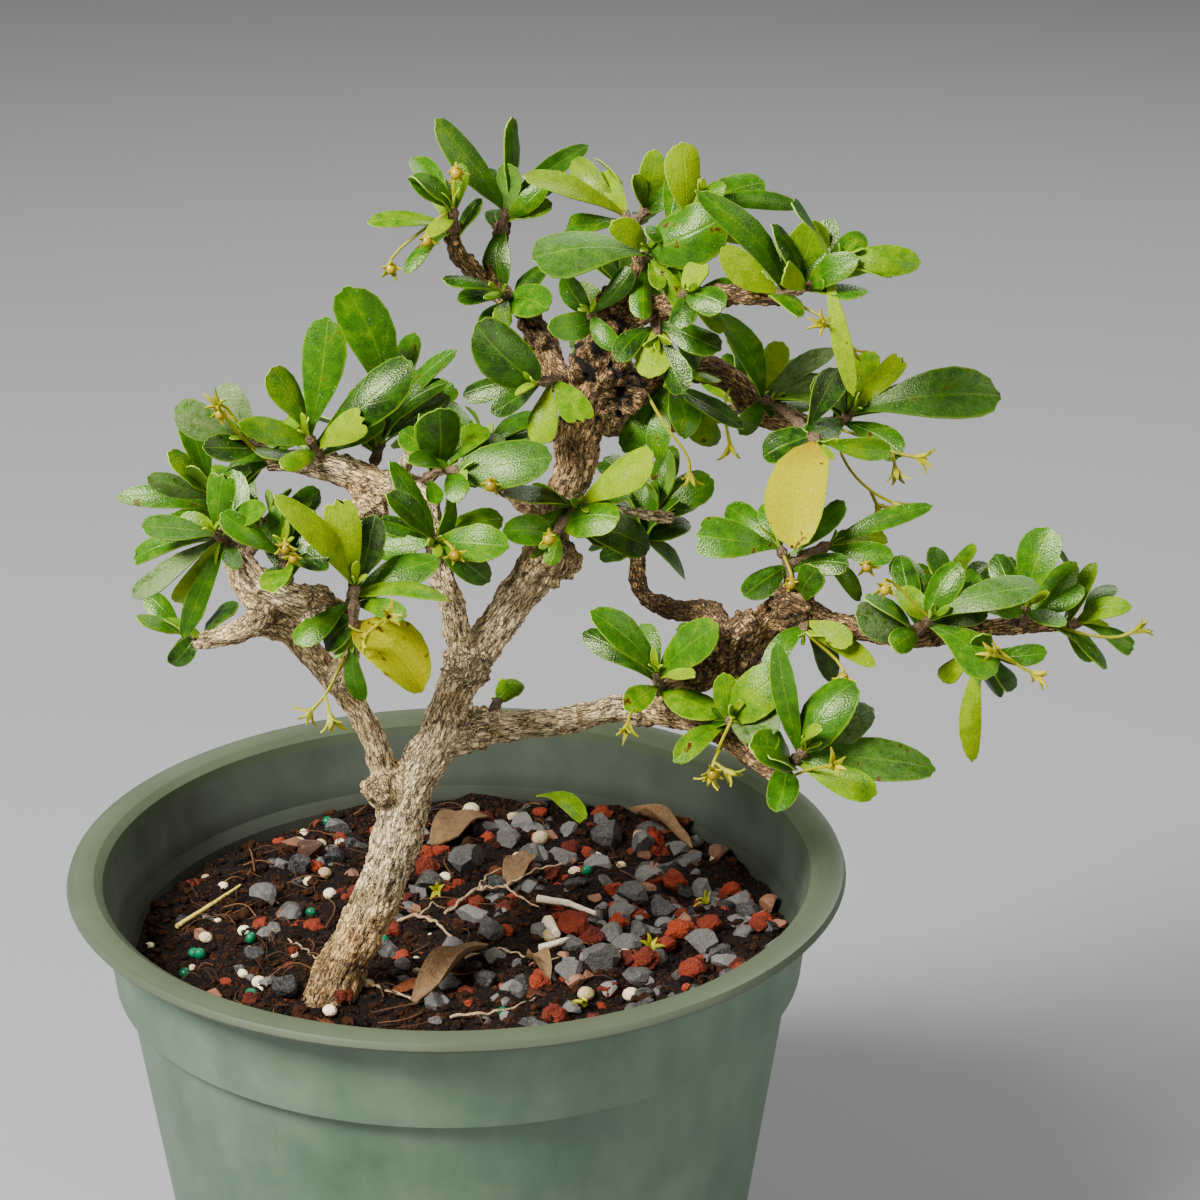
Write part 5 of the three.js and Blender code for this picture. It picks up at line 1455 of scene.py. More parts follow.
# Each shoot with its rosettes
SHOOTS: dict[str, tuple[Rosette, ...]] = {
    "crown_left": (Rosette(
        ((-19.6, 73, 18), (-18.4, 79.6, 20)), (
            (-33, 96.2, -6, 6.6), (-18.4, 96.8, -3, 4.8, 55), (-2.4, 91, 5, 4.2, 30), (-11, 83.4, -4, 4.2),
            (-20.6, 62.8, -8, 6), (-9.6, 79.4, -1, 3.6, 20),
        ), "smmmdb", further=3, fill=1, more=((-22.4, 86, 4, 3.6),),
    ),),
    "crown_far_left": (Rosette(
        ((-29.4, 71, 12), (-29.4, 78.6, 9)), (
            (-36.6, 89.6, 5, 5), (-37.4, 84.6, -4, 4.8), (-45.8, 77.6, -2, 4.4, 20),
            (-39.4, 67.6, -6, 3.6, 30), (-34, 74.6, -7, 3.6),
        ), "mmbmy", further=3, more=((-27.6, 87.4, 3, 3.4),),
    ),),
    "crown_arch": (Rosette(
        ((9.8, 69, 3), (6.6, 75, 8), (4.4, 78, 11)),
        ((-13.8, 86.6, -4, 5.6, 15), (-6, 88.4, 5, 5, -20), (-7, 75, 5, 5)),
        "oom", further=3, fill=1, more=((0, 86, 3, 4.4),),
    ), Rosette(
        ((6.6, 75, 8), (10, 79, 10)),
        ((10.4, 88, 1, 4), (6.6, 85, -3, 3.6, 25)),
        "mb", further=3, more=((15, 82, -3, 4),),
    )),
    "crown_right": (Rosette(
        ((9.8, 67, 1), (15, 74, -4), (19, 79, -7)), (
            (16.4, 91.6, 2, 7.2), (24.6, 83, -3, 4.4), (40.8, 78.8, 3, 3.6, 25), (30.6, 81.2, 7, 4.4),
            (30, 73.6, -2, 5, 20),
        ), "ybmmy", fill=1,
    ),),
    "crown_hub": (Rosette(
        ((9.4, 66, 1), (9.6, 70, -7)), (
            (-13.6, 68.4, -6, 11), (23.6, 76.6, -5, 11.4), (11.6, 61.6, -5, 3.4), (16.2, 60, -6, 3.6),
            (8.4, 56, -5, 4.4),
        ), "smbbm", further=1, more=((3, 75.4, -3, 5),),
    ),),
    "crown_front": (Rosette(
        ((-17.4, 59.4, 12), (-19.4, 61.4, 5)),
        ((-10.4, 58, -4, 8), (-20, 54.6, -6, 4), (-28.6, 60, -2, 4), (-30, 66, -5, 3.6, 30)),
        "mbdd", further=2,
    ),),
    "crown_middle": (Rosette(
        ((1, 52, 0), (-2, 57.4, -8)),
        ((-9.6, 54.6, -4, 5.4), (-7.4, 64.8, 1, 4.6), (6.2, 66, -2, 4.2)),
        "mdd", further=0, more=((3, 50.6, -6, 4),),
    ),),
    "crown_low": (Rosette(
        ((-6, 44.4, -1), (-12.6, 43.4, -9)), (
            (-24.6, 55, -4, 10), (-4.2, 37.4, -7, 6.2), (-12.4, 31.4, -4, 6, 20), (-27.6, 42, 2, 5.4),
            (-21.4, 37.6, -5, 4.4, -20),
        ), "dbydd", further=0,
    ),),
    "high_tip": (Rosette(
        ((33, 60.8, -17), (41.8, 62.4, -23)), (
            (21.8, 80.4, -8, 5.4), (43.4, 76, 2, 8), (53.6, 61, -5, 4.2), (24.2, 70.4, 5, 6, -20),
            (49.6, 68.4, -7, 5.4),
        ), "mbmym", fill=1, more=((33, 70, 6, 6), (37.4, 66.2, -7, 4.8)),
    ), Rosette(
        ((41.8, 62.4, -23), (47.6, 68, -25)),
        ((63.4, 68.8, -4, 5.8), (49.8, 41, -9, 3.6, 20), (53, 73, 5, 5)),
        "bym", further=3,
    )),
    "high_inner": (Rosette(
        ((16, 59.6, -8), (17.4, 61.6, -14)),
        ((25, 59, -5, 6), (15.8, 54.8, -5, 5.4), (27.8, 63, 3, 5)),
        "mdb", further=2, more=((21, 67.6, 3, 5),),
    ),),
    "high_under": (Rosette(
        ((11, 57.6, -4), (11.6, 53, -11)),
        ((10, 44.6, -6, 7), (23.4, 51.6, -3, 6.4), (16.6, 41.4, -8, 6, 30), (3.4, 48.6, -5, 5)),
        "yddd", further=1,
    ),),
    "middle_inner": (Rosette(
        ((14, 45, 9), (14.6, 42.6, 0)),
        ((28.8, 36, -6, 4.6), (18, 33.6, -5, 7), (4.2, 31, -3, 6), (10.4, 29, -6, 5)),
        "dmmm", further=7, more=((24, 30.4, 2, 6),),
    ),),
    "middle_top": (Rosette(
        ((30, 40, 13), (34.6, 40, 6)), (
            (24.8, 57, -5, 5.4), (36.6, 51.6, 3, 5.4), (47.6, 49.6, 2, 6.4), (49.6, 44.6, -5, 8),
            (42.4, 39, -8, 6),
        ), "myppb", fill=1,
    ), Rosette(
        ((34.6, 40, 6), (43.6, 31.6, -12)),
        ((32.4, 29.4, 2, 8), (38.8, 10.2, -16, 11.4), (57.8, 30, 4, 4.4, 30)),
        "dgb", further=2,
    )),
    "middle_tip": (Rosette(
        ((45.6, 34, 6), (50.8, 37.8, -1)),
        ((78.6, 43.4, -6, 11), (60.4, 48.6, 2, 4.4, 15), (60.6, 29, -5, 6.2), (43, 44.4, -5, 6)),
        "symp", further=3, fill=2, more=((55, 50, 6, 5),),
    ),),
    "right_core": (Rosette(
        ((38.4, -1, -25), (37.6, 7, -22), (35.8, 10.8, -22)),
        ((20.2, 13.4, -4, 7.8), (48.8, 8, -6, 5.2), (28.8, 1, -7, 5.6), (49, 19.4, 5, 4.4), (33, 20, 6, 5)),
        "mddmm", further=0, more=((24.4, 19.6, 9, 5.4),),
    ), Rosette(
        ((37.6, 7, -22), (46, 11.2, -18)),
        ((66.6, 19, 2, 4), (58.8, 8.6, -4, 4.6), (52.8, 0.6, -5, 3.6)),
        "mmb", further=1, more=((58, 14, 7, 5),),
    )),
    "arm_inner": (Rosette(
        ((62, -7.6, -28), (66, -3.6, -34)), (
            (50.8, -3, -3, 8), (71, 7.6, 2, 7), (76, 5.6, 9, 5.6), (86.6, 4.4, -3, 7.6), (79.4, -14.4, -5, 8),
            (58.6, -9.6, -6, 5),
        ), "pmmsmm", fill=2, more=((60, 3, 6, 5),),
    ),),
    "arm_under": (Rosette(
        ((76, -6, -26), (76, -11.6, -31)),
        ((73.4, -33.4, -3, 4.2), (89.2, -10.6, -3, 4.2, 30)),
        "ym", further=2, more=((68, -15.4, 5, 5), (84, -17, 3, 4.6)),
    ),),
    "arm_middle": (Rosette(
        ((84, -5.2, -24), (85.4, -1.4, -28)),
        ((89.8, 14.4, 2, 8), (97, 2.2, 3, 4), (79.6, 9.4, 6, 5), (93, -4.6, -7, 4.2)),
        "mmdm", fill=1, more=((79, -1, -6, 3.4),),
    ),),
    "arm_tip": (Rosette(
        ((90, -5, -22.6), (96.4, -4.6, -22)),
        ((98.4, 7.6, 1, 3.8), (105.6, -0.6, -4, 4.6), (107.2, -9.4, -2, 3.6), (99, -12, -5, 3.8)),
        "bbmm", further=2, more=((103, 4, 6, 4),),
    ),),
    "low_left_of_right": (Rosette(
        ((12, -20, -18), (11.4, -14.4, -25)), (
            (-1.2, -2, -2, 7.4), (-3, -6, 6, 5.4), (23.8, -5, -5, 8), (18, -14.4, -7, 3.8),
            (5.6, -20.8, -6, 5), (24.6, -23.8, -7, 7.8),
        ), "mdmybb", further=1,
    ),),
    "low_right_inner": (Rosette(
        ((25, -26.8, -28.6), (26.4, -23.8, -36)),
        ((24.8, -15, 2, 5), (35.2, -14, -2, 9), (35.8, -26, -5, 9.4), (16, -30.6, -6, 4.6)),
        "bbpb", further=2, more=((19.6, -25, 6, 6),),
    ),),
    "low_right_front": (Rosette(
        ((36, -34.8, -35), (41, -30, -42)), (
            (35.8, -8.8, 4, 4.8), (48.8, -16.2, 1, 9.6), (33, -28.6, -6, 8), (42.4, -25.4, -7, 3.4),
            (35.2, -42.4, -3, 5.8), (55, -38.6, -6, 5.8), (67.4, -31.2, 1, 9.6), (54.4, -21, 6, 8),
        ), "mmmymbsp", further=2, fill=1,
    ),),
    "fork_right": (Rosette(
        ((40, -1.4, -25), (41, -6.4, -30)),
        ((50.4, -8.8, -4, 4.6, 20), (55.2, -13.2, -3, 3.8, 25), (33, -13, -6, 4.6), (46, -16, 5, 5)),
        "yymd", further=2,
    ),),
    "trunk_right": (Rosette(
        ((-7.6, 19, -3), (-4.4, 18.8, -11)),
        ((9, 30, -4, 8.4), (-18.6, 22.4, -4, 6.2), (-13, 13, -3, 4.6), (6, 22, 6, 5.4)),
        "ydmm", further=1,
    ), Rosette(
        ((-4.4, 18.8, -11), (-9.6, 12.8, -14)),
        ((3.6, 16.6, -4, 8), (-19.4, 13.8, -3, 6), (-10, 7.2, -4, 3.4), (11.2, 12, 4, 8)),
        "mmbd", further=1,
    )),
    "centre_hub": (Rosette(
        ((-36.6, 23, -10), (-32, 26, -14), (-28, 25.6, -17)), (
            (-10.2, 29, -4, 9.4), (-32.4, 38.6, 0, 9.2), (-36.6, 29, -7, 4.2), (-28.6, 20.6, -6, 5),
            (-22.4, 34, 7, 5.6),
        ), "sdmmd", further=6, more=((-40, 33.6, 5, 5.6),),
    ),),
    "centre_low": (Rosette(
        ((-33.6, 13, -13.4), (-33, 11.4, -21)),
        ((-18.8, 11.2, -5, 8), (-40.8, 27.4, -2, 5), (-42, 21, -7, 5.4), (-22, 3.6, 2, 6, 20)),
        "mmdd", more=((-44.6, 10.4, 4, 5.6),),
    ),),
    "left_peak": (Rosette(
        ((-46, 25, -5), (-44, 31, 2), (-42, 37.4, 6)), (
            (-51, 63, -3, 10), (-28.6, 50, -2, 5), (-33, 44.6, -6, 5.6), (-38.6, 54, 5, 5.4),
            (-30, 40.6, 4, 4.6),
        ), "mmdmd", further=7, fill=1, more=((-46.4, 30.6, -5, 5),),
    ),),
    "left_high": (Rosette(
        ((-55, 27.4, -3.6), (-58.4, 32.8, -8)), (
            (-54.6, 56.4, 0, 8.6), (-40.8, 46.6, -5, 9.2), (-66, 46.4, -2, 6.4), (-48.2, 36.2, -6, 6, 20),
            (-71.8, 35.4, -5, 5), (-62.6, 27.6, -7, 4),
        ), "mdbybb", fill=1,
    ),),
    "left_outer": (Rosette(
        ((-64.8, 27.8, -3), (-70, 32, -6)),
        ((-84.8, 38.6, -3, 7), (-76, 43, 5, 5.6), (-79.4, 30.6, -6, 5.4), (-63, 36, 6, 4.4)),
        "ppdm", fill=1,
    ),),
    "left_side": (Rosette(
        ((-76.2, 14, 1), (-78.4, 23, -1)), (
            (-82.4, 38.4, 3, 5.8), (-85.6, 29.6, -5, 6), (-96.6, 21.4, 0, 4.6), (-90, 24.6, -7, 4.4),
            (-86.4, 15.4, -7, 4.6),
        ), "mbmpm", fill=1, more=((-71, 26.4, -5, 5.4),),
    ),),
    "left_front": (Rosette(
        ((-74, 11.4, -37.4), (-77, 13.6, -42)), (
            (-91.6, 15, -3, 6.2), (-93.8, 9.4, 2, 5.2), (-94, 1.2, -3, 5.4), (-83.4, -8, -2, 4),
            (-76, 24, -3, 5.4), (-66, 18, -5, 5),
        ), "smpmmm", further=3, more=((-86, -2.4, 5, 5),),
    ),),
    "left_front_inner": (Rosette(
        ((-62, 1.4, -40), (-63.6, 10, -45)),
        ((-64.6, 18.4, 0, 5), (-66, 2.4, -5, 5.6), (-56.4, 17.4, 4, 9), (-54, 8.6, -3, 5)),
        "mddd", further=3, more=((-74.4, 17.6, -3, 4.8),),
    ),),
    "left_centre_front": (Rosette(
        ((-51, -5, -34), (-49, 3, -43)), (
            (-62.8, 20.6, -8, 5), (-51.4, 18.6, -2, 6.4), (-45.2, 16.6, 3, 5.4), (-31.6, 3, -3, 4.8),
            (-32.4, 8.6, 5, 7), (-38.4, -3.4, -5, 4),
        ), "yydbmb", further=2,
    ), Rosette(
        ((-49, 3, -43), (-49.4, -6.8, -43)),
        ((-35.2, -18, -4, 12), (-54.6, -9, 2, 6.8), (-48.2, -21, 0, 4)),
        "ldm", further=0,
    )),
    "left_stub": (Rosette(
        ((-79, -8, -15), (-83.4, -6.6, -12)),
        ((-90.4, 1.4, 3, 4.6), (-93, -4, -4, 4.4), (-86, -13, -3, 4.4)),
        "mmd", further=3, more=((-80.6, 2.4, 5, 4.6),),
    ),),
    "fork_sprout": (Rosette(
        ((-22, -24, -13), (-20.4, -20, -2)), ((-16, -16, 2, 6),), "b", further=0,
    ),),
    "behind_centre": (Rosette(
        ((8.4, 10, 32), (9, 14, 35)),
        ((0, 8, -3, 6), (-2.6, 12.6, 3, 6), (18, 16, 3, 6), (10, 24, 2, 6)),
        "dmdm", further=8, fill=1, more=((17, 4.4, 5, 5.4),),
    ), Rosette(
        ((9, 14, 35), (13, 20, 39)), ((22, 24, -3, 6), (14, 31, 3, 6)), "mm", further=8, fill=2,
    )),
    "back_high_shoot": (Rosette(
        ((7.6, 56, 34), (9, 62, 38)), ((19, 68, 2, 6), (0, 70, 3, 6)), "mm", further=8, fill=3,
    ), Rosette(
        ((8.2, 59, 36), (1, 55, 40)), ((-6, 48, 2, 6),), "m", further=7, fill=2,
    )),
    "back_left_shoot": (Rosette(
        ((-36.4, 33.4, 30), (-42, 36, 35)), ((-50, 42, 3, 6), (-36, 46, 3, 6)), "mb", further=8, fill=3,
    ),),
    "back_left_inner": (Rosette(
        ((-24, 26, 20), (-22, 31, 27)), ((-14, 38, 4, 6), (-30, 40, 4, 5)), "md", further=8, fill=2,
    ),),
    "back_right_shoot": (Rosette(
        ((26, 37.6, 32), (31, 41, 36)), ((40, 46, 2, 6), (26, 50, 4, 5)), "mm", further=8, fill=3,
    ),),
    "right_back": (Rosette(
        ((20, -14.6, -20), (24, -12, -8), (27, -9, -1)),
        ((38, -3, 3, 6), (20, 0, 5, 5)),
        "mm", further=7, fill=3,
    ),),
    "arm_back": (Rosette(
        ((70, -6.4, -27), (69, -3, -16), (71, 0, -9)),
        ((80, 4, 3, 5), (62, 8, 5, 5)),
        "mb", further=6, fill=3,
    ),),
    "left_back": (Rosette(
        ((-73, 6, -10), (-69, 11, 4), (-66, 17, 12)),
        ((-56, 22, 4, 5), (-72, 26, 4, 5)),
        "dm", further=7, fill=3,
    ),),
}


# The fruit


@dataclass(frozen=True)
class Bunch:
    """A stalk and the ends that its calyxes stand on, as seen from the front, in millimetres."""

    stalk: tuple[Place, ...]
    ends: tuple[Place, ...]
    drupes: int = 0


@dataclass
class Fruit:
    """Thin stalks with starry calyxes, some with a ripe drupe in them."""

    stalk_radius: float = 0.3
    sepal_long: float = 3.7
    sepal_wide: float = 1.0
    sepals: int = 5
    drupe_radius: float = 1.15
    drupe_long: float = 1.12
    finishes: list[bpy.types.Material] = field(default_factory=list)
    sepal: bpy.types.Object | None = None
    drupe: bpy.types.Object | None = None

    def build(self) -> None:
        """Makes every bunch, the single drupes and the fallen calyxes."""
        self.finishes = [CALYX.material(), DRUPE.material()]
        self.sepal = self.model_sepal()
        self.drupe = self.model_drupe()
        draw = seeded(77)
        for name, bunch in (BUNCHES | FURTHER_BUNCHES).items():
            piece = join(self.bunch(bunch, draw), f"calyx_bunch_{name}")
            finish_piece(piece, "fruit", *([f"fruit_{name}"] if name in BUNCHES else []), smooth=50)
        buds = [rosette.twig[-1] for rosettes in SHOOTS.values() for rosette in rosettes]
        parts = []
        for right, up in SINGLE_DRUPES:
            bud = min(buds, key=lambda place: math.hypot(place[0] - right, place[1] - up))
            stalk, end = (bud, (right, up + 1.2, bud[2] - 2.5)), (right, up, bud[2] - 4)
            parts += self.bunch(Bunch(stalk, (end,), 1), draw)
        finish_piece(join(parts, "single_drupes"), "fruit", smooth=50)
        bed = SoilBed()
        parts = []
        for right, up in FALLEN_CALYXES:
            out = Vector((draw() - 0.5, draw() - 0.5, 0.2 + draw() * 0.2)).normalized()
            parts += self.calyx((bed.dropped(right, up) + ZENITH * 1.6) * MM, out, True, draw)
        finish_piece(join(parts, "fallen_calyxes"), "fruit", smooth=50)
        discard([self.sepal, self.drupe])

    def model_sepal(self) -> bpy.types.Object:
        """Models a narrow, pointed sepal that curls back at its tip.

        Returns:
            The model, one unit long.
        """
        sepal = grid("sepal", 2, 4)
        for row, (share, rise) in enumerate(((0.6, 0), (1, 0.1), (0.85, 0.17), (0.5, 0.16), (0.08, 0.06))):
            edit(
                sepal, lambda point, level=row / 4: abs(point.y - level) < 0.01,
                (bpy.ops.transform.resize, {"value": (share, 1, 1), "center_override": (0, 0, 0)}),
                (bpy.ops.transform.translate, {"value": (0, 0, rise)}),
            )
        sepal.data.materials.append(self.finishes[0])
        apply(sepal, "SOLIDIFY", thickness=0.09, offset=-1.0)
        return sepal

    def model_drupe(self) -> bpy.types.Object:
        """Models a small egg-shaped drupe with a blunt point.

        Returns:
            The model, one unit in radius.
        """
        drupe = add(bpy.ops.mesh.primitive_ico_sphere_add, "drupe", subdivisions=3, radius=1)
        pull = {"value": (0, 0, 0.12), "use_proportional_edit": True, "proportional_size": 0.6}
        edit(drupe, lambda point: point.z > 0.8, (bpy.ops.transform.translate, pull))
        drupe.data.materials.append(self.finishes[1])
        return drupe

    def bunch(self, bunch: Bunch, draw: Draw) -> list[bpy.types.Object]:
        """Makes a bunch's stalks, calyxes and drupes.

        Args:
            bunch: The bunch.
            draw: Gives the numbers that its sepals are turned by.

        Returns:
            Its parts.
        """
        parts = []
        fork = bunch.stalk[-1]
        for index, end in enumerate(bunch.ends):
            places = [seen(*place[:3]) for place in ([fork, end] if index else [*bunch.stalk, end])]
            radii = [self.stalk_radius * (1.25 if place is places[-1] else 1) * MM for place in places]
            stalk = wire(places, radii, "stalk", sides=1)
            dress(stalk, self.finishes[0])
            paint(stalk, "shade", 0.45 + draw() * 0.2)
            parts.append(stalk)
            out = (places[-1] - places[-2]).normalized()
            ripe = index < bunch.drupes
            if ripe:
                turned = np.array(out.to_track_quat("Z", "Y").to_matrix())
                size = self.drupe_radius * (0.85 + draw() * 0.25) * MM
                points = points_of(self.drupe) * (size, size, size * self.drupe_long)
                centre = np.array(places[-1] + out * (size * 0.75))
                berry = copy_at(self.drupe, points @ turned.T + centre)
                paint(berry, "shade", 0.2 + draw() * 0.7)
                parts.append(berry)
            parts += self.calyx(places[-1], out, ripe, draw)
        return parts

    def calyx(self, centre: Vector, out: Vector, ripe: bool, draw: Draw) -> list[bpy.types.Object]:
        """Makes a calyx: a ring of sepals, wide open, or held back by a ripe drupe.

        Args:
            centre: The stalk's end.
            out: The way that it points.
            ripe: Whether a drupe stands in it.
            draw: Gives the numbers that its sepals are turned by.

        Returns:
            The sepals.
        """
        first = out.orthogonal().normalized()
        other = out.cross(first)
        made = []
        start = draw() * math.tau
        for index in range(self.sepals):
            turn = start + math.tau * (index + (draw() - 0.5) * 0.3) / self.sepals
            aside = first * math.cos(turn) + other * math.sin(turn)
            spread = 0.45 + draw() * (0.5 if ripe else 1.5)
            along = (aside + out * spread).normalized()
            across = along.cross(out).normalized()
            face = across.cross(along)
            long = self.sepal_long * (0.8 + draw() * 0.4) * (0.75 if ripe else 1) * MM
            wide = self.sepal_wide * (0.8 + draw() * 0.4) * MM
            points = points_of(self.sepal) * (wide, long, long)
            frame = np.array((across, along, face))
            sepal = copy_at(self.sepal, points @ frame + np.array(centre))
            paint(sepal, "shade", 0.25 + draw() * 0.75)
            made.append(sepal)
        return made


# The bunches that only the scene has
FURTHER_BUNCHES: dict[str, Bunch] = {
    "low_front": Bunch(
        ((26, -27.4, -29), (24, -30, -37), (22.8, -32.4, -39)), ((22.4, -34.6, -40), (25, -34, -40)),
    ),
    "centre": Bunch(((-33.6, 13, -13), (-30.6, 11.4, -24), (-29.6, 10.4, -26)), ((-29.2, 9.4, -28),), 1),
}

# Right and up, in millimetres as seen
FALLEN_CALYXES: tuple[Place, ...] = ((-32.4, -59.4), (21.6, -62), (-2.8, -82.4), (10, -71))
# Each hangs from the nearest twig's end
SINGLE_DRUPES: tuple[Place, ...] = (
    (-28.8, 86.2), (-41.8, 67), (-34.6, 72.6), (38.2, 4), (57, 3), (53.4, 7.4), (22.6, -34), (48.6, -15),
    (-63.8, 18), (-63, 11), (-61.4, 9), (-21.8, 23.8), (-10.2, 13), (-76, 38),
)

BUNCHES: dict[str, Bunch] = {
    "long_stalk": Bunch(((9, 43, 6), (10.6, 39, -5), (14, 33.6, -8), (17.6, 28.4, -8)), ((18, 25.4, -8),)),
    "high_tip": Bunch(((36, 60.4, -18), (43, 57.4, -25), (48, 54, -26)), ((49.8, 50.8, -26), (45, 55, -29))),
    "middle": Bunch(((26.4, 43.6, 13), (25, 38, 3), (25.4, 34, 1)), ((26, 31, 1),)),
    "middle_tip": Bunch(((47, 34, 5), (49.4, 27, -3), (54, 22, -6)), ((58.6, 19.4, -7), (55.4, 19, -4))),
    "middle_end": Bunch(((46.6, 34.6, 5), (54, 32, -2), (58.6, 29.6, -6)), ((63.2, 28.6, -7), (59, 26.6, -7))),
    "arm": Bunch(((78, -5.4, -25.6), (79, -9, -33), (83, -12.6, -35)), ((86.4, -14.6, -35), (79.4, -11, -38))),
    "arm_tip": Bunch(((91, -5, -22), (98, -7, -28), (103.4, -7.4, -28)), ((106.6, -6.4, -28),)),
    "low_left": Bunch(((8, -21.4, -17), (6.6, -22.4, -24), (6, -23, -26)), ((5.6, -24.8, -28),)),
    "low_tip": Bunch(((38, -35.4, -36), (43, -33.6, -44), (45, -33.4, -47)), ((46.4, -33.2, -50),)),
    "left_low": Bunch(
        ((-50.8, -10.6, -28), (-52.6, -14.6, -37), (-55, -19, -38)), ((-57.6, -22, -38), (-54, -23, -40)),
    ),
    "left_middle": Bunch(
        ((-51.4, -4, -34), (-47, -4.4, -40), (-44, -4.4, -47)), ((-42.6, -3.6, -50), (-46.4, -6.6, -49)),
    ),
    "left_high": Bunch(((-66, 27.4, -3), (-72, 33, -12), (-75, 36.6, -15)), ((-76.2, 38.4, -17),)),
}


# The soil and its top dressing


class Grain(Enum):
    """The forms of the loose pieces: how many models, how finely rounded, the flats cut, and the roughness."""

    CRUMB = (5, 1, 0, 0.3)
    CHIPPED = (5, 2, 9, 0.03)
    CRUSTY = (5, 3, 0, 0.24)
    ROUNDED = (2, 2, 0, 0.02)
    FLAT = (5, 2, 6, 0.07)


@dataclass(frozen=True)
class Dressing:
    """One kind of loose piece: its form and finish, the ones seen in the open, and how many more are scattered.

    Each seen piece is its right and up as seen from the front and its width, in millimetres.
    """

    name: str
    grain: Grain
    finish: Grit
    placed: tuple[Place, ...]
    scattered: int
    size: tuple[float, float]
    gravel: float
    sunk: float = 0.25
    flatness: float = 0.8


@dataclass
class SoilBed:
    """The settled potting mix, with stones, chips, roots, prills and fallen leaves on it."""

    pot_height: float = 114.0
    below_lip: float = 18.0
    foot: float = 1.6
    top_radius: float = 66.2
    foot_radius: float = 51.9
    rings: int = 46
    sides: int = 120
    crumbs: int = 2600
    bark_fibres: int = 150
    clear_of_wall: float = 2.0
    models: dict[Grain, list[bpy.types.Object]] = field(default_factory=dict)

    def height(self, x: float, y: float) -> float:
        """The bed's height at a place, in millimetres, the same rule as the solid's."""
        mound = 1.5 * math.exp(-((x + 24) ** 2 + (y + 25) ** 2) / 260)
        long_waves = 0.9 * math.sin(0.13 * x + 1) * math.cos(0.17 * y)
        short_waves = 0.5 * math.sin(0.31 * x - 0.27 * y)
        return self.pot_height - self.below_lip + 0.022 * x + 0.012 * y + long_waves + short_waves + mound

    def relief(self, x: float, y: float) -> float:
        """The bed's height with its fine crumbling, in millimetres."""
        spot = Vector((x, y, 0))
        coarse = noise.noise(spot / 4.2) * 1.1 + noise.noise(spot / 1.8) * 0.7
        return self.height(x, y) + coarse

    def dropped(self, right: float, up: float) -> Vector:
        """Finds the place on the bed that is seen from the front at right and up.

        Args:
            right: How far right, in millimetres.
            up: How far up.

        Returns:
            The place in millimetres, kept clear of the wall.
        """
        ray = sight(right, up)
        level = self.pot_height - self.below_lip
        for _ in range(3):
            place = (EYE + ray * ((level * MM - EYE.z) / ray.z)) / MM
            level = self.height(place.x, place.y)
        reach = math.hypot(place.x, place.y)
        if reach > self.top_radius - self.clear_of_wall:
            place *= (self.top_radius - self.clear_of_wall) / reach
        return Vector((place.x, place.y, self.height(place.x, place.y)))

    def build(self) -> None:
        """Makes the bed and all that lies on it."""
        self.models = self.model_grains()
        self.bed()
        self.crumb_layer()
        for number, dressing in enumerate(DRESSINGS):
            self.lay_kind(dressing, number + 1)
        self.litter()
        for models in self.models.values():
            discard(models)

    def bed(self) -> None:
        """Makes the settled body of the soil, down to the pot's floor."""
        top = self.pot_height - self.below_lip
        bed = add(
            bpy.ops.mesh.primitive_circle_add, "potting_soil", vertices=self.sides,
            radius=self.foot_radius * MM, location=(0, 0, self.foot * MM), fill_type="NGON",
        )

        def widen(share: float) -> Step:
            """The step that widens what is selected by a share."""
            return bpy.ops.transform.resize, {"value": (share, share, 1), "center_override": (0, 0, top * MM)}

        rise = {"TRANSFORM_OT_translate": {"value": (0, 0, (top - self.foot) * MM)}}
        edit(bed, None, (bpy.ops.mesh.extrude_region_move, rise), widen(self.top_radius / self.foot_radius))
        steps = []
        for ring in range(self.rings, 1, -1):
            steps += [(bpy.ops.mesh.extrude_region_move, {}), widen((ring - 1) / ring)]
        steps.append((bpy.ops.mesh.merge, {"type": "CENTER"}))
        edit(bed, lambda point: point.z > (top - 1) * MM, *steps)
        weld = (bpy.ops.mesh.remove_doubles, {"threshold": 1e-6})
        edit(bed, None, weld, (bpy.ops.mesh.normals_make_consistent, {"inside": False}))
        points = points_of(bed)
        for index, (x, y, z) in enumerate(points / MM):
            if z > top - 1:
                points[index, 2] = self.relief(x, y) * MM
        set_points(bed, points)
        paint(bed, "shade", 0.12)
        bed.data.materials.append(PEAT.material())
        finish_piece(bed, "soil", "soil", smooth=70)

    def model_grains(self) -> dict[Grain, list[bpy.types.Object]]:
        """Models a few of each form of loose piece, about one unit across.

        Returns:
            The models by form.
        """
        draw = seeded(31)
        made: dict[Grain, list[bpy.types.Object]] = {}
        for grain in Grain:
            made[grain] = []
            models, fine, cuts, rough = grain.value
            for number in range(models):
                name = f"{grain.name.lower()}_{number}"
                piece = add(bpy.ops.mesh.primitive_ico_sphere_add, name, subdivisions=fine, radius=0.5)
                self.chip(piece, draw, cuts)
                if grain is Grain.FLAT:
                    edit(piece, None, (bpy.ops.transform.resize, {"value": (1.25, 0.7, 0.34)}))
                points = points_of(piece)
                for index, point in enumerate(points):
                    spot = Vector(point) * 3.2 + Vector((number * 7.0, 3.0, 1.0))
                    fine_spot = Vector(point) * 9.0 + Vector((number * 5.0, 1.0, 2.0))
                    swell = 1 + rough * (noise.noise(spot) * 1.6 + noise.noise(fine_spot) * 0.5)
                    points[index] = point * swell
                set_points(piece, points / np.ptp(points, axis=0).max())
                made[grain].append(piece)
        return made

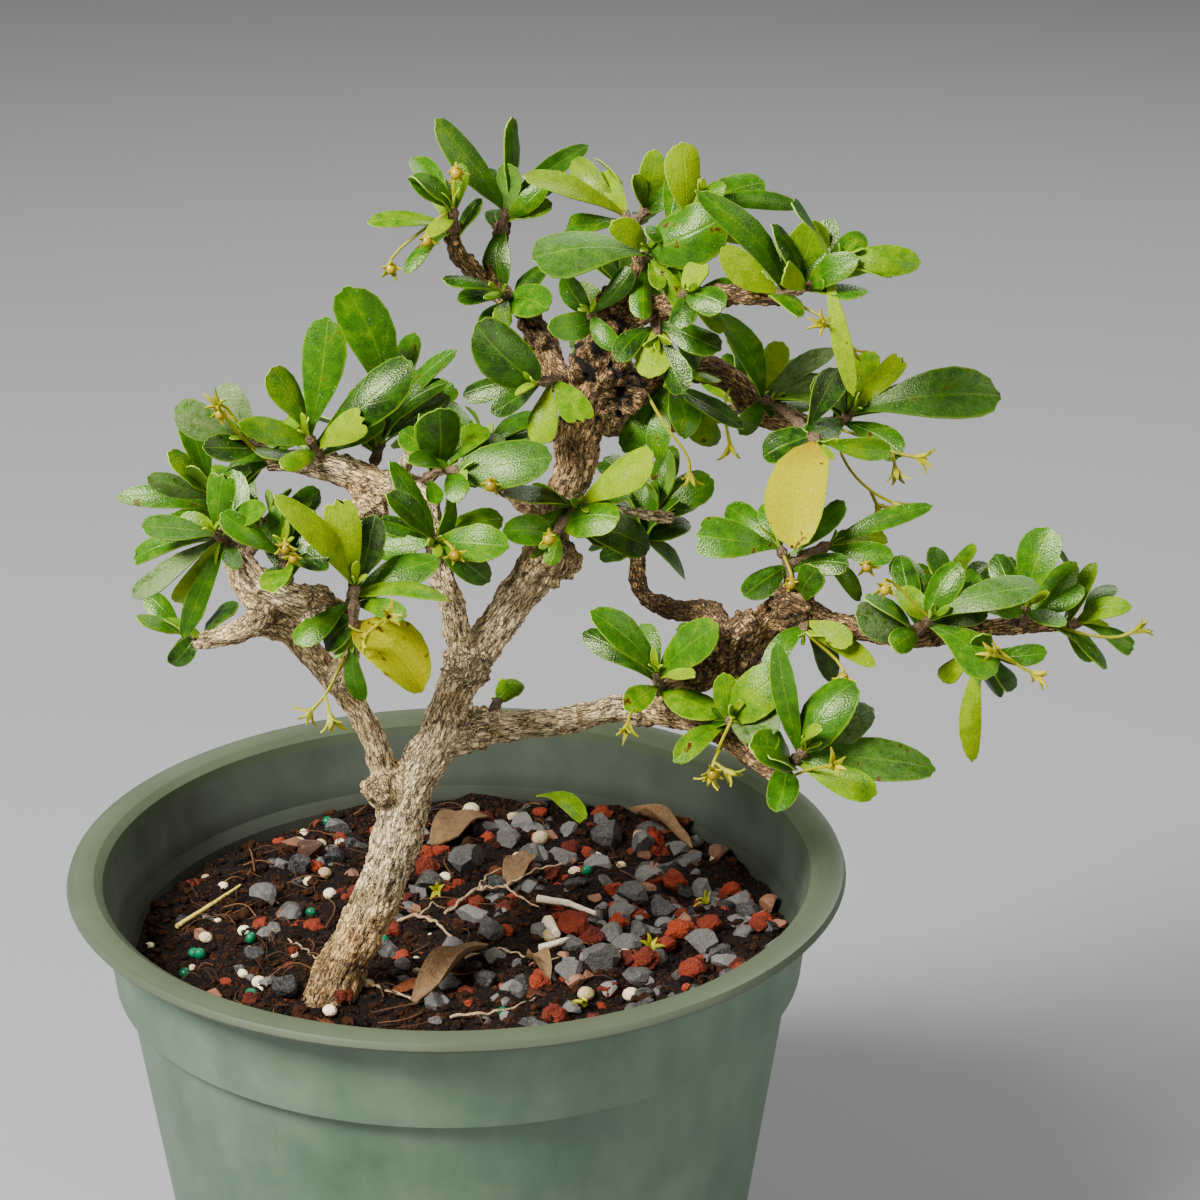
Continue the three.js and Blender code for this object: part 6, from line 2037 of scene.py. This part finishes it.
    @staticmethod
    def chip(piece: bpy.types.Object, draw: Draw, cuts: int) -> None:
        """Cuts flats on a piece, as broken stone has."""
        for _ in range(cuts):
            way = Vector((draw() - 0.5, draw() - 0.5, draw() - 0.5)).normalized()
            flat = {"plane_co": way * (0.17 + draw() * 0.18), "plane_no": way}
            edit(piece, None, (bpy.ops.mesh.bisect, {**flat, "use_fill": True, "clear_outer": True}))

    def lay(
        self, grain: Grain, place: Vector, size: float, draw: Draw, sunk: float, flatness: float
    ) -> bpy.types.Object:
        """Lays one loose piece on the bed, turned in its own way.

        Args:
            grain: Its form.
            place: Where, in millimetres.
            size: Its width in millimetres.
            draw: Gives the numbers that it is turned and shaped by.
            sunk: How far it lies in the bed, as a share of its size.
            flatness: Its height as a share of its width.

        Returns:
            The piece.
        """
        models = self.models[grain]
        model = models[int(draw() * len(models))]
        points = points_of(model) * (1, 0.75 + draw() * 0.25, 1)
        tilt = 0.5 if grain is Grain.FLAT else 3.0
        turn = Quaternion((1, 0, 0), (draw() - 0.5) * tilt) @ Quaternion((0, 1, 0), (draw() - 0.5) * tilt)
        spin = Quaternion(ZENITH, draw() * math.tau)
        points = points @ np.array(turn.to_matrix()).T
        points[:, 2] *= flatness
        points = points @ np.array(spin.to_matrix()).T * (size * MM)
        lift = -points[:, 2].min() - sunk * size * MM
        placed = points + np.array((place.x * MM, place.y * MM, place.z * MM + lift))
        copy = copy_at(model, placed)
        paint(copy, "shade", draw())
        return copy

    @staticmethod
    def gravel_at(x: float, y: float) -> float:
        """How much of the ground is stones at a place, from 0 to 1. The front left is mostly dark mix."""
        right = 1 / (1 + math.exp(-(x - 2) / 6))
        back_band = math.exp(-((y - 14) / 22) ** 2) * (1 / (1 + math.exp(-(x + 40) / 8)))
        return min(1.0, 0.1 + 0.85 * right + 0.5 * back_band)

    def scatter(self, count: int, gravel: float, draw: Draw, near: float = 0.98) -> list[Vector]:
        """Finds places for loose pieces, more of them where their kind lies.

        Args:
            count: How many.
            gravel: From 0, only in the dark mix, to 1, only among the stones.
            draw: Gives the numbers.
            near: How close to the wall they come, as a share of the bed's radius.

        Returns:
            The places in millimetres, on the bed.
        """
        found: list[Vector] = []
        while len(found) < count:
            reach = math.sqrt(draw()) * self.top_radius * near
            turn = draw() * math.tau
            x, y = math.cos(turn) * reach, math.sin(turn) * reach
            here = self.gravel_at(x, y)
            if draw() < gravel * here + (1 - gravel) * (1 - here):
                found.append(Vector((x, y, self.height(x, y))))
        return found

    def crumb_layer(self) -> None:
        """Covers the bed with crumbs of the mix."""
        draw = seeded(91)
        parts = []
        for place in self.scatter(self.crumbs, 0.35, draw):
            place.z = self.relief(place.x, place.y)
            parts.append(self.lay(Grain.CRUMB, place, 0.9 + draw() ** 2 * 2.6, draw, 0.35, 0.8))
        crumbs = join(parts, "soil_crumbs")
        dress(crumbs, bpy.data.materials[PEAT.name])
        finish_piece(crumbs, "soil", smooth=None)

    def lay_kind(self, dressing: Dressing, seed: int) -> None:
        """Lays all the pieces of one kind.

        Args:
            dressing: The kind.
            seed: The number that its scatter is drawn with.
        """
        draw = seeded(seed * 101)
        low, high = dressing.size
        spots = [(self.dropped(*row[:2]), row[2], 0.1) for row in dressing.placed]
        for place in self.scatter(dressing.scattered, dressing.gravel, draw, 0.975):
            spots.append((place, low + (high - low) * draw() ** 1.4, dressing.sunk + draw() * 0.2))
        parts = [
            self.lay(dressing.grain, place, size, draw, sunk, dressing.flatness) for place, size, sunk in spots
        ]
        piece = join(parts, dressing.name)
        dress(piece, dressing.finish.material())
        finish_piece(piece, "soil", smooth={Grain.ROUNDED: 80, Grain.CRUSTY: 50}.get(dressing.grain))

    def strand(
        self, places: Sequence[Place], radius: float, finish: bpy.types.Material, rough: float
    ) -> bpy.types.Object:
        """Lays a root or stem on the bed.

        Args:
            places: The right and up that it is seen at, and its lift above the bed, in millimetres.
            radius: Its radius at its root, in millimetres.
            finish: Its material.
            rough: How far it strays from its line, in millimetres.

        Returns:
            The strand.
        """
        points = []
        for right, up, lift in places:
            place = self.dropped(right, up)
            place.z += lift
            points.append(place * MM)
        fine = [points[0]]
        for start, end in zip(points, points[1:]):
            count = max(1, round((end - start).length / (1.4 * MM)))
            for index in range(1, count + 1):
                spot = start / MM * 3 + Vector((index * 1.7, 0, 0))
                shift = Vector([noise.noise(spot + ZENITH * apart) for apart in (9.3, 0, 27.7)]) * (rough * MM)
                fine.append(start + (end - start) * (index / count) + shift)
        radii = [
            radius * (1 - 0.5 * index / len(fine)) * (1 + rough * 0.5 * math.sin(index * 2.3)) * MM
            for index in range(len(fine))
        ]
        made = wire(fine, radii, "strand", sides=1)
        dress(made, finish)
        paint(made, "shade", 0.55)
        return made

    def litter(self) -> None:
        """Lays the roots, stems and fallen leaves."""
        made = []
        for name, grit, rough, strands in (
            ("dry_roots", DRY_ROOT, 0.6, ROOTS), ("fallen_stem", STRAW, 0.1, STEMS),
            ("pale_stick", PALE_WOOD, 0.05, STICKS),
        ):
            finish = grit.material()
            made.append(join([self.strand(places, radius, finish, rough) for places, radius in strands], name))
        made.append(self.fibres())
        fallen = join([self.fallen(*row) for row in FALLEN_LEAVES], "fallen_leaves")
        dress(fallen, DRY_LEAF.material())
        made.append(fallen)
        for piece in made:
            finish_piece(piece, "soil", smooth=60)

    def fibres(self) -> bpy.types.Object:
        """Strews fine fibres of bark over the dark mix.

        Returns:
            The fibres.
        """
        draw = seeded(57)
        finish = FIBRE.material()
        parts = []
        for place in self.scatter(self.bark_fibres, 0.1, draw, 0.93):
            turn = draw() * math.tau
            long = 3 + draw() * 8
            way = Vector((math.cos(turn), math.sin(turn), 0))
            bow = Vector((-way.y, way.x, 0)) * (draw() - 0.5) * long * 0.5
            spots = [place - way * long / 2, place + bow, place + way * long / 2]
            for index, spot in enumerate(spots):
                spot.z = self.relief(spot.x, spot.y) + (0.5, 1.2, 0.6)[index] + draw() * 0.8
            radius = 0.07 + draw() * 0.13
            fibre = wire([spot * MM for spot in spots], [radius * MM] * 3, "fibre", sides=0)
            dress(fibre, finish)
            paint(fibre, "shade", draw())
            parts.append(fibre)
        return join(parts, "bark_fibres")

    def fallen(
        self, right: float, up: float, end_right: float, end_up: float, wide: float, curl: float
    ) -> bpy.types.Object:
        """Lays a dry leaf between two places seen on the bed.

        Args:
            right: Its root's right.
            up: Its root's up.
            end_right: Its tip's right.
            end_up: Its tip's up.
            wide: Its width.
            curl: How far its edges curl up, as a share of its width.

        Returns:
            The leaf.
        """
        start, end = self.dropped(right, up) + ZENITH * 2, self.dropped(end_right, end_up) + ZENITH * 3
        rows = 10
        leaf = grid("dry_leaf", 6, rows)
        for row in range(rows + 1):
            share = max(0.06, math.sin(math.pi * min(1, 0.06 + row / 10.6)) ** 0.7)
            edit(
                leaf, lambda point, level=row / rows: abs(point.y - level) < 0.01,
                (bpy.ops.transform.resize, {"value": (share, 1, 1), "center_override": (0, row / rows, 0)}),
            )
        apply(leaf, "SOLIDIFY", thickness=1.0, offset=-1.0)
        along = end - start
        side = along.cross(ZENITH).normalized()
        face = side.cross(along).normalized()
        points = points_of(leaf)
        across, share, depth = points[:, 0], points[:, 1], points[:, 2]
        rise = wide * curl * (across * 2) ** 2 + np.sin(share * math.pi) * 1.2 + depth * 0.35
        rise = rise + 0.5 * np.sin(across * 7 + share * 11) + 3 * curl * across * np.sin(share * 4 - 1.4)
        placed = np.array(start) + np.outer(share, along) + np.outer(across * wide, side) + np.outer(rise, face)
        set_points(leaf, placed * MM)
        paint(leaf, "shade", 0.5)
        return leaf


DRESSINGS: tuple[Dressing, ...] = (
    Dressing(
        "lava_stones", Grain.CRUSTY, LAVA,
        (
            (-5.4, -67, 8), (-34.6, -54.8, 6), (15, -57.4, 6), (9.4, -73.2, 6), (16, -68, 7),
            (18.6, -75.2, 6.4), (31.8, -66, 5), (-12, -43, 4), (2.8, -58.8, 4), (-51.4, -80.2, 5),
            (22, -66, 6), (13, -70, 5),
        ),
        125, (2, 6.6), 0.88,
    ),
    Dressing(
        "slate_stones", Grain.CHIPPED, SLATE,
        (
            (2.2, -48.6, 8), (9.4, -50.2, 7), (6.8, -60.8, 6.5), (13, -63, 6), (1.2, -67.6, 6), (8.4, -67, 6),
            (-6, -76.2, 7), (0.6, -73.6, 8), (24.6, -71.6, 6), (-25.4, -64, 7), (-26.4, -53.8, 8),
            (-62.6, -78.2, 6), (-67.2, -60.4, 7),
        ),
        230, (2.4, 7.6), 0.92,
    ),
    Dressing(
        "umber_pebbles", Grain.CHIPPED, UMBER_STONE,
        ((-15.6, -55.8, 6), (-62, -50, 5), (11, -55, 4.4), (-58, -51.8, 6.6)), 44, (2.6, 6), 0.8,
    ),
    Dressing(
        "pumice_and_perlite", Grain.ROUNDED, PUMICE,
        (
            (-25.8, -42.8, 4), (-12, -48.6, 4), (-9.6, -68, 4), (-58, -56.8, 3),
            (-55, -55.2, 3), (-54, -59.4, 3), (-31, -56.2, 3), (-2.8, -79.8, 3.5), (6.2, -79.8, 3.5),
            (-54, -82.8, 3), (-68.2, -77, 3), (-71.4, -75, 2.5), (-78.8, -68, 3), (-46.2, -77.2, 2.5),
        ),
        44, (1.4, 4), 0.6,
    ),
    Dressing(
        "bark_chips", Grain.FLAT, BARK_CHIP,
        ((-19.2, -54.8, 9), (13, -46, 12), (-60, -62, 8), (-40, -78, 9), (-14, -79, 8)), 240, (2, 9), 0.3,
        flatness=1.0,
    ),
    Dressing(
        "fertiliser_prills", Grain.ROUNDED, PRILL,
        (
            (-80, -71.6, 2.6), (-69.8, -68.4, 2.6), (-69.6, -79.6, 2.8), (-57.8, -63.2, 2.4),
            (-43.2, -68.6, 2.4), (-2.6, -55, 2.4),
        ),
        6, (2.2, 2.6), 0.4, flatness=1.0,
    ),
)

# Each strand's places, as right, up and lift above the bed, and its radius
ROOTS: tuple[Strand, ...] = (
    (((-31, -63, 0.5), (-25, -60, 2.5), (-19, -59.6, 3), (-13, -57, 3.4), (-7, -55.2, 3)), 0.36),
    (((-19, -59.6, 3), (-16, -62, 2.6), (-12, -63, 1.5)), 0.29),
    (((-25, -60, 2.5), (-22, -57, 3), (-19.6, -56.4, 3.4)), 0.25),
    (((-41.2, -65, 0.4), (-37, -64.4, 1.8), (-33, -66, 2), (-28.4, -69, 0.6)), 0.4),
    (((-36, -64.6, 1.8), (-33.6, -62.6, 2.2), (-31, -62.4, 1)), 0.25),
    (((-52, -74, 0), (-46, -78, 1), (-40, -80, 1.2), (-33, -82, 0.6)), 0.36),
    (((-30, -84, 0.5), (-24, -84.4, 1.6), (-18, -83, 1.4), (-13, -80, 0.4)), 0.32),
    (((-27, -72, 0.4), (-20, -71, 1.5), (-13, -73, 1), (-8, -72, 0.2)), 0.25),
    (((-66, -66, 0.2), (-60, -70, 1), (-56, -73, 0.6)), 0.29),
)
STEMS: tuple[Strand, ...] = (
    (((-84.6, -67, 2), (-78, -63.6, 3), (-71.8, -60, 3.4)), 0.5),
)
STICKS: tuple[Strand, ...] = (
    (((-12.6, -62.4, 3), (-6.6, -63.6, 3.4), (-0.8, -65.4, 3)), 0.85),
    (((-10.4, -66, 2), (-8.6, -68.6, 2)), 1.4),
    (((-12, -71, 1.5), (-8, -70, 1.8), (-6, -69, 1.5)), 0.8),
)
# Each leaf's root and tip, as right and up, its width, and how far its edges curl
FALLEN_LEAVES: tuple[Place, ...] = (
    (-33, -50.4, -23, -45, 9, 0.22), (-18.4, -58.6, -13.4, -53, 6, 0.2), (-37, -82, -22.4, -71, 6, 0.6),
    (7, -42.6, 18.4, -51.6, 4.4, 0.5), (-14, -73, -10, -78, 4, 0.5),
)


# The floor, light and camera


@dataclass
class Studio:
    """A plain pale floor, soft light and the eye's camera."""

    floor_side: float = 6.0
    floor_colour: str = "#8f8f90"
    room_light: float = 0.22
    nearest_seen: float = 0.01
    crown: Vector = field(default_factory=lambda: Vector((0.02, 0, 0.16)))
    # Each softbox's name, place and side in metres, and power in watts. All of them face the crown
    lamps: tuple[tuple[str, Place, float, float], ...] = (
        ("key", (-0.7, -0.6, 1.05), 0.42, 58), ("fill", (0.95, -0.85, 0.7), 0.8, 8),
        ("back", (0.4, 0.8, 1.1), 0.7, 10),
    )

    def build(self) -> None:
        """Sets up the floor, the lamps and the camera."""
        floor = add(bpy.ops.mesh.primitive_plane_add, "floor", size=self.floor_side, location=(0, 0, 0))
        finish, shader, _ = start_material("pale_paper")
        fill(shader, {"Base Color": self.floor_colour, "Roughness": 0.95})
        floor.data.materials.append(finish)
        for name, place, side, power in self.lamps:
            pick()
            turn = (self.crown - Vector(place)).to_track_quat("-Z", "Y").to_euler()
            bpy.ops.object.light_add(type="AREA", location=place, rotation=turn)
            lamp = bpy.context.object
            lamp.name = name
            lamp.data.shape = "SQUARE"
            lamp.data.size = side
            lamp.data.energy = power
        world = bpy.data.worlds.new("soft_room")
        world.use_nodes = True
        fill(world.node_tree.nodes["Background"], {"Color": "#ffffff", "Strength": self.room_light})
        bpy.context.scene.world = world
        pick()
        bpy.ops.object.camera_add(location=EYE, rotation=(math.pi / 2 - VIEW_TILT, 0, 0))
        camera = bpy.context.object
        camera.name = "eye"
        camera.data.lens = CAMERA_LENS
        camera.data.sensor_width = CAMERA_SENSOR
        camera.data.clip_start = self.nearest_seen
        bpy.context.scene.camera = camera


def main() -> None:
    """Builds the tree in its pot."""
    logging.basicConfig(level=logging.INFO, format="%(name)s %(message)s")
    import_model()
    NurseryPot().build()
    SoilBed().build()
    Wood().build()
    Foliage().build()
    Fruit().build()
    Studio().build()


if __name__ == "__main__":
    main()
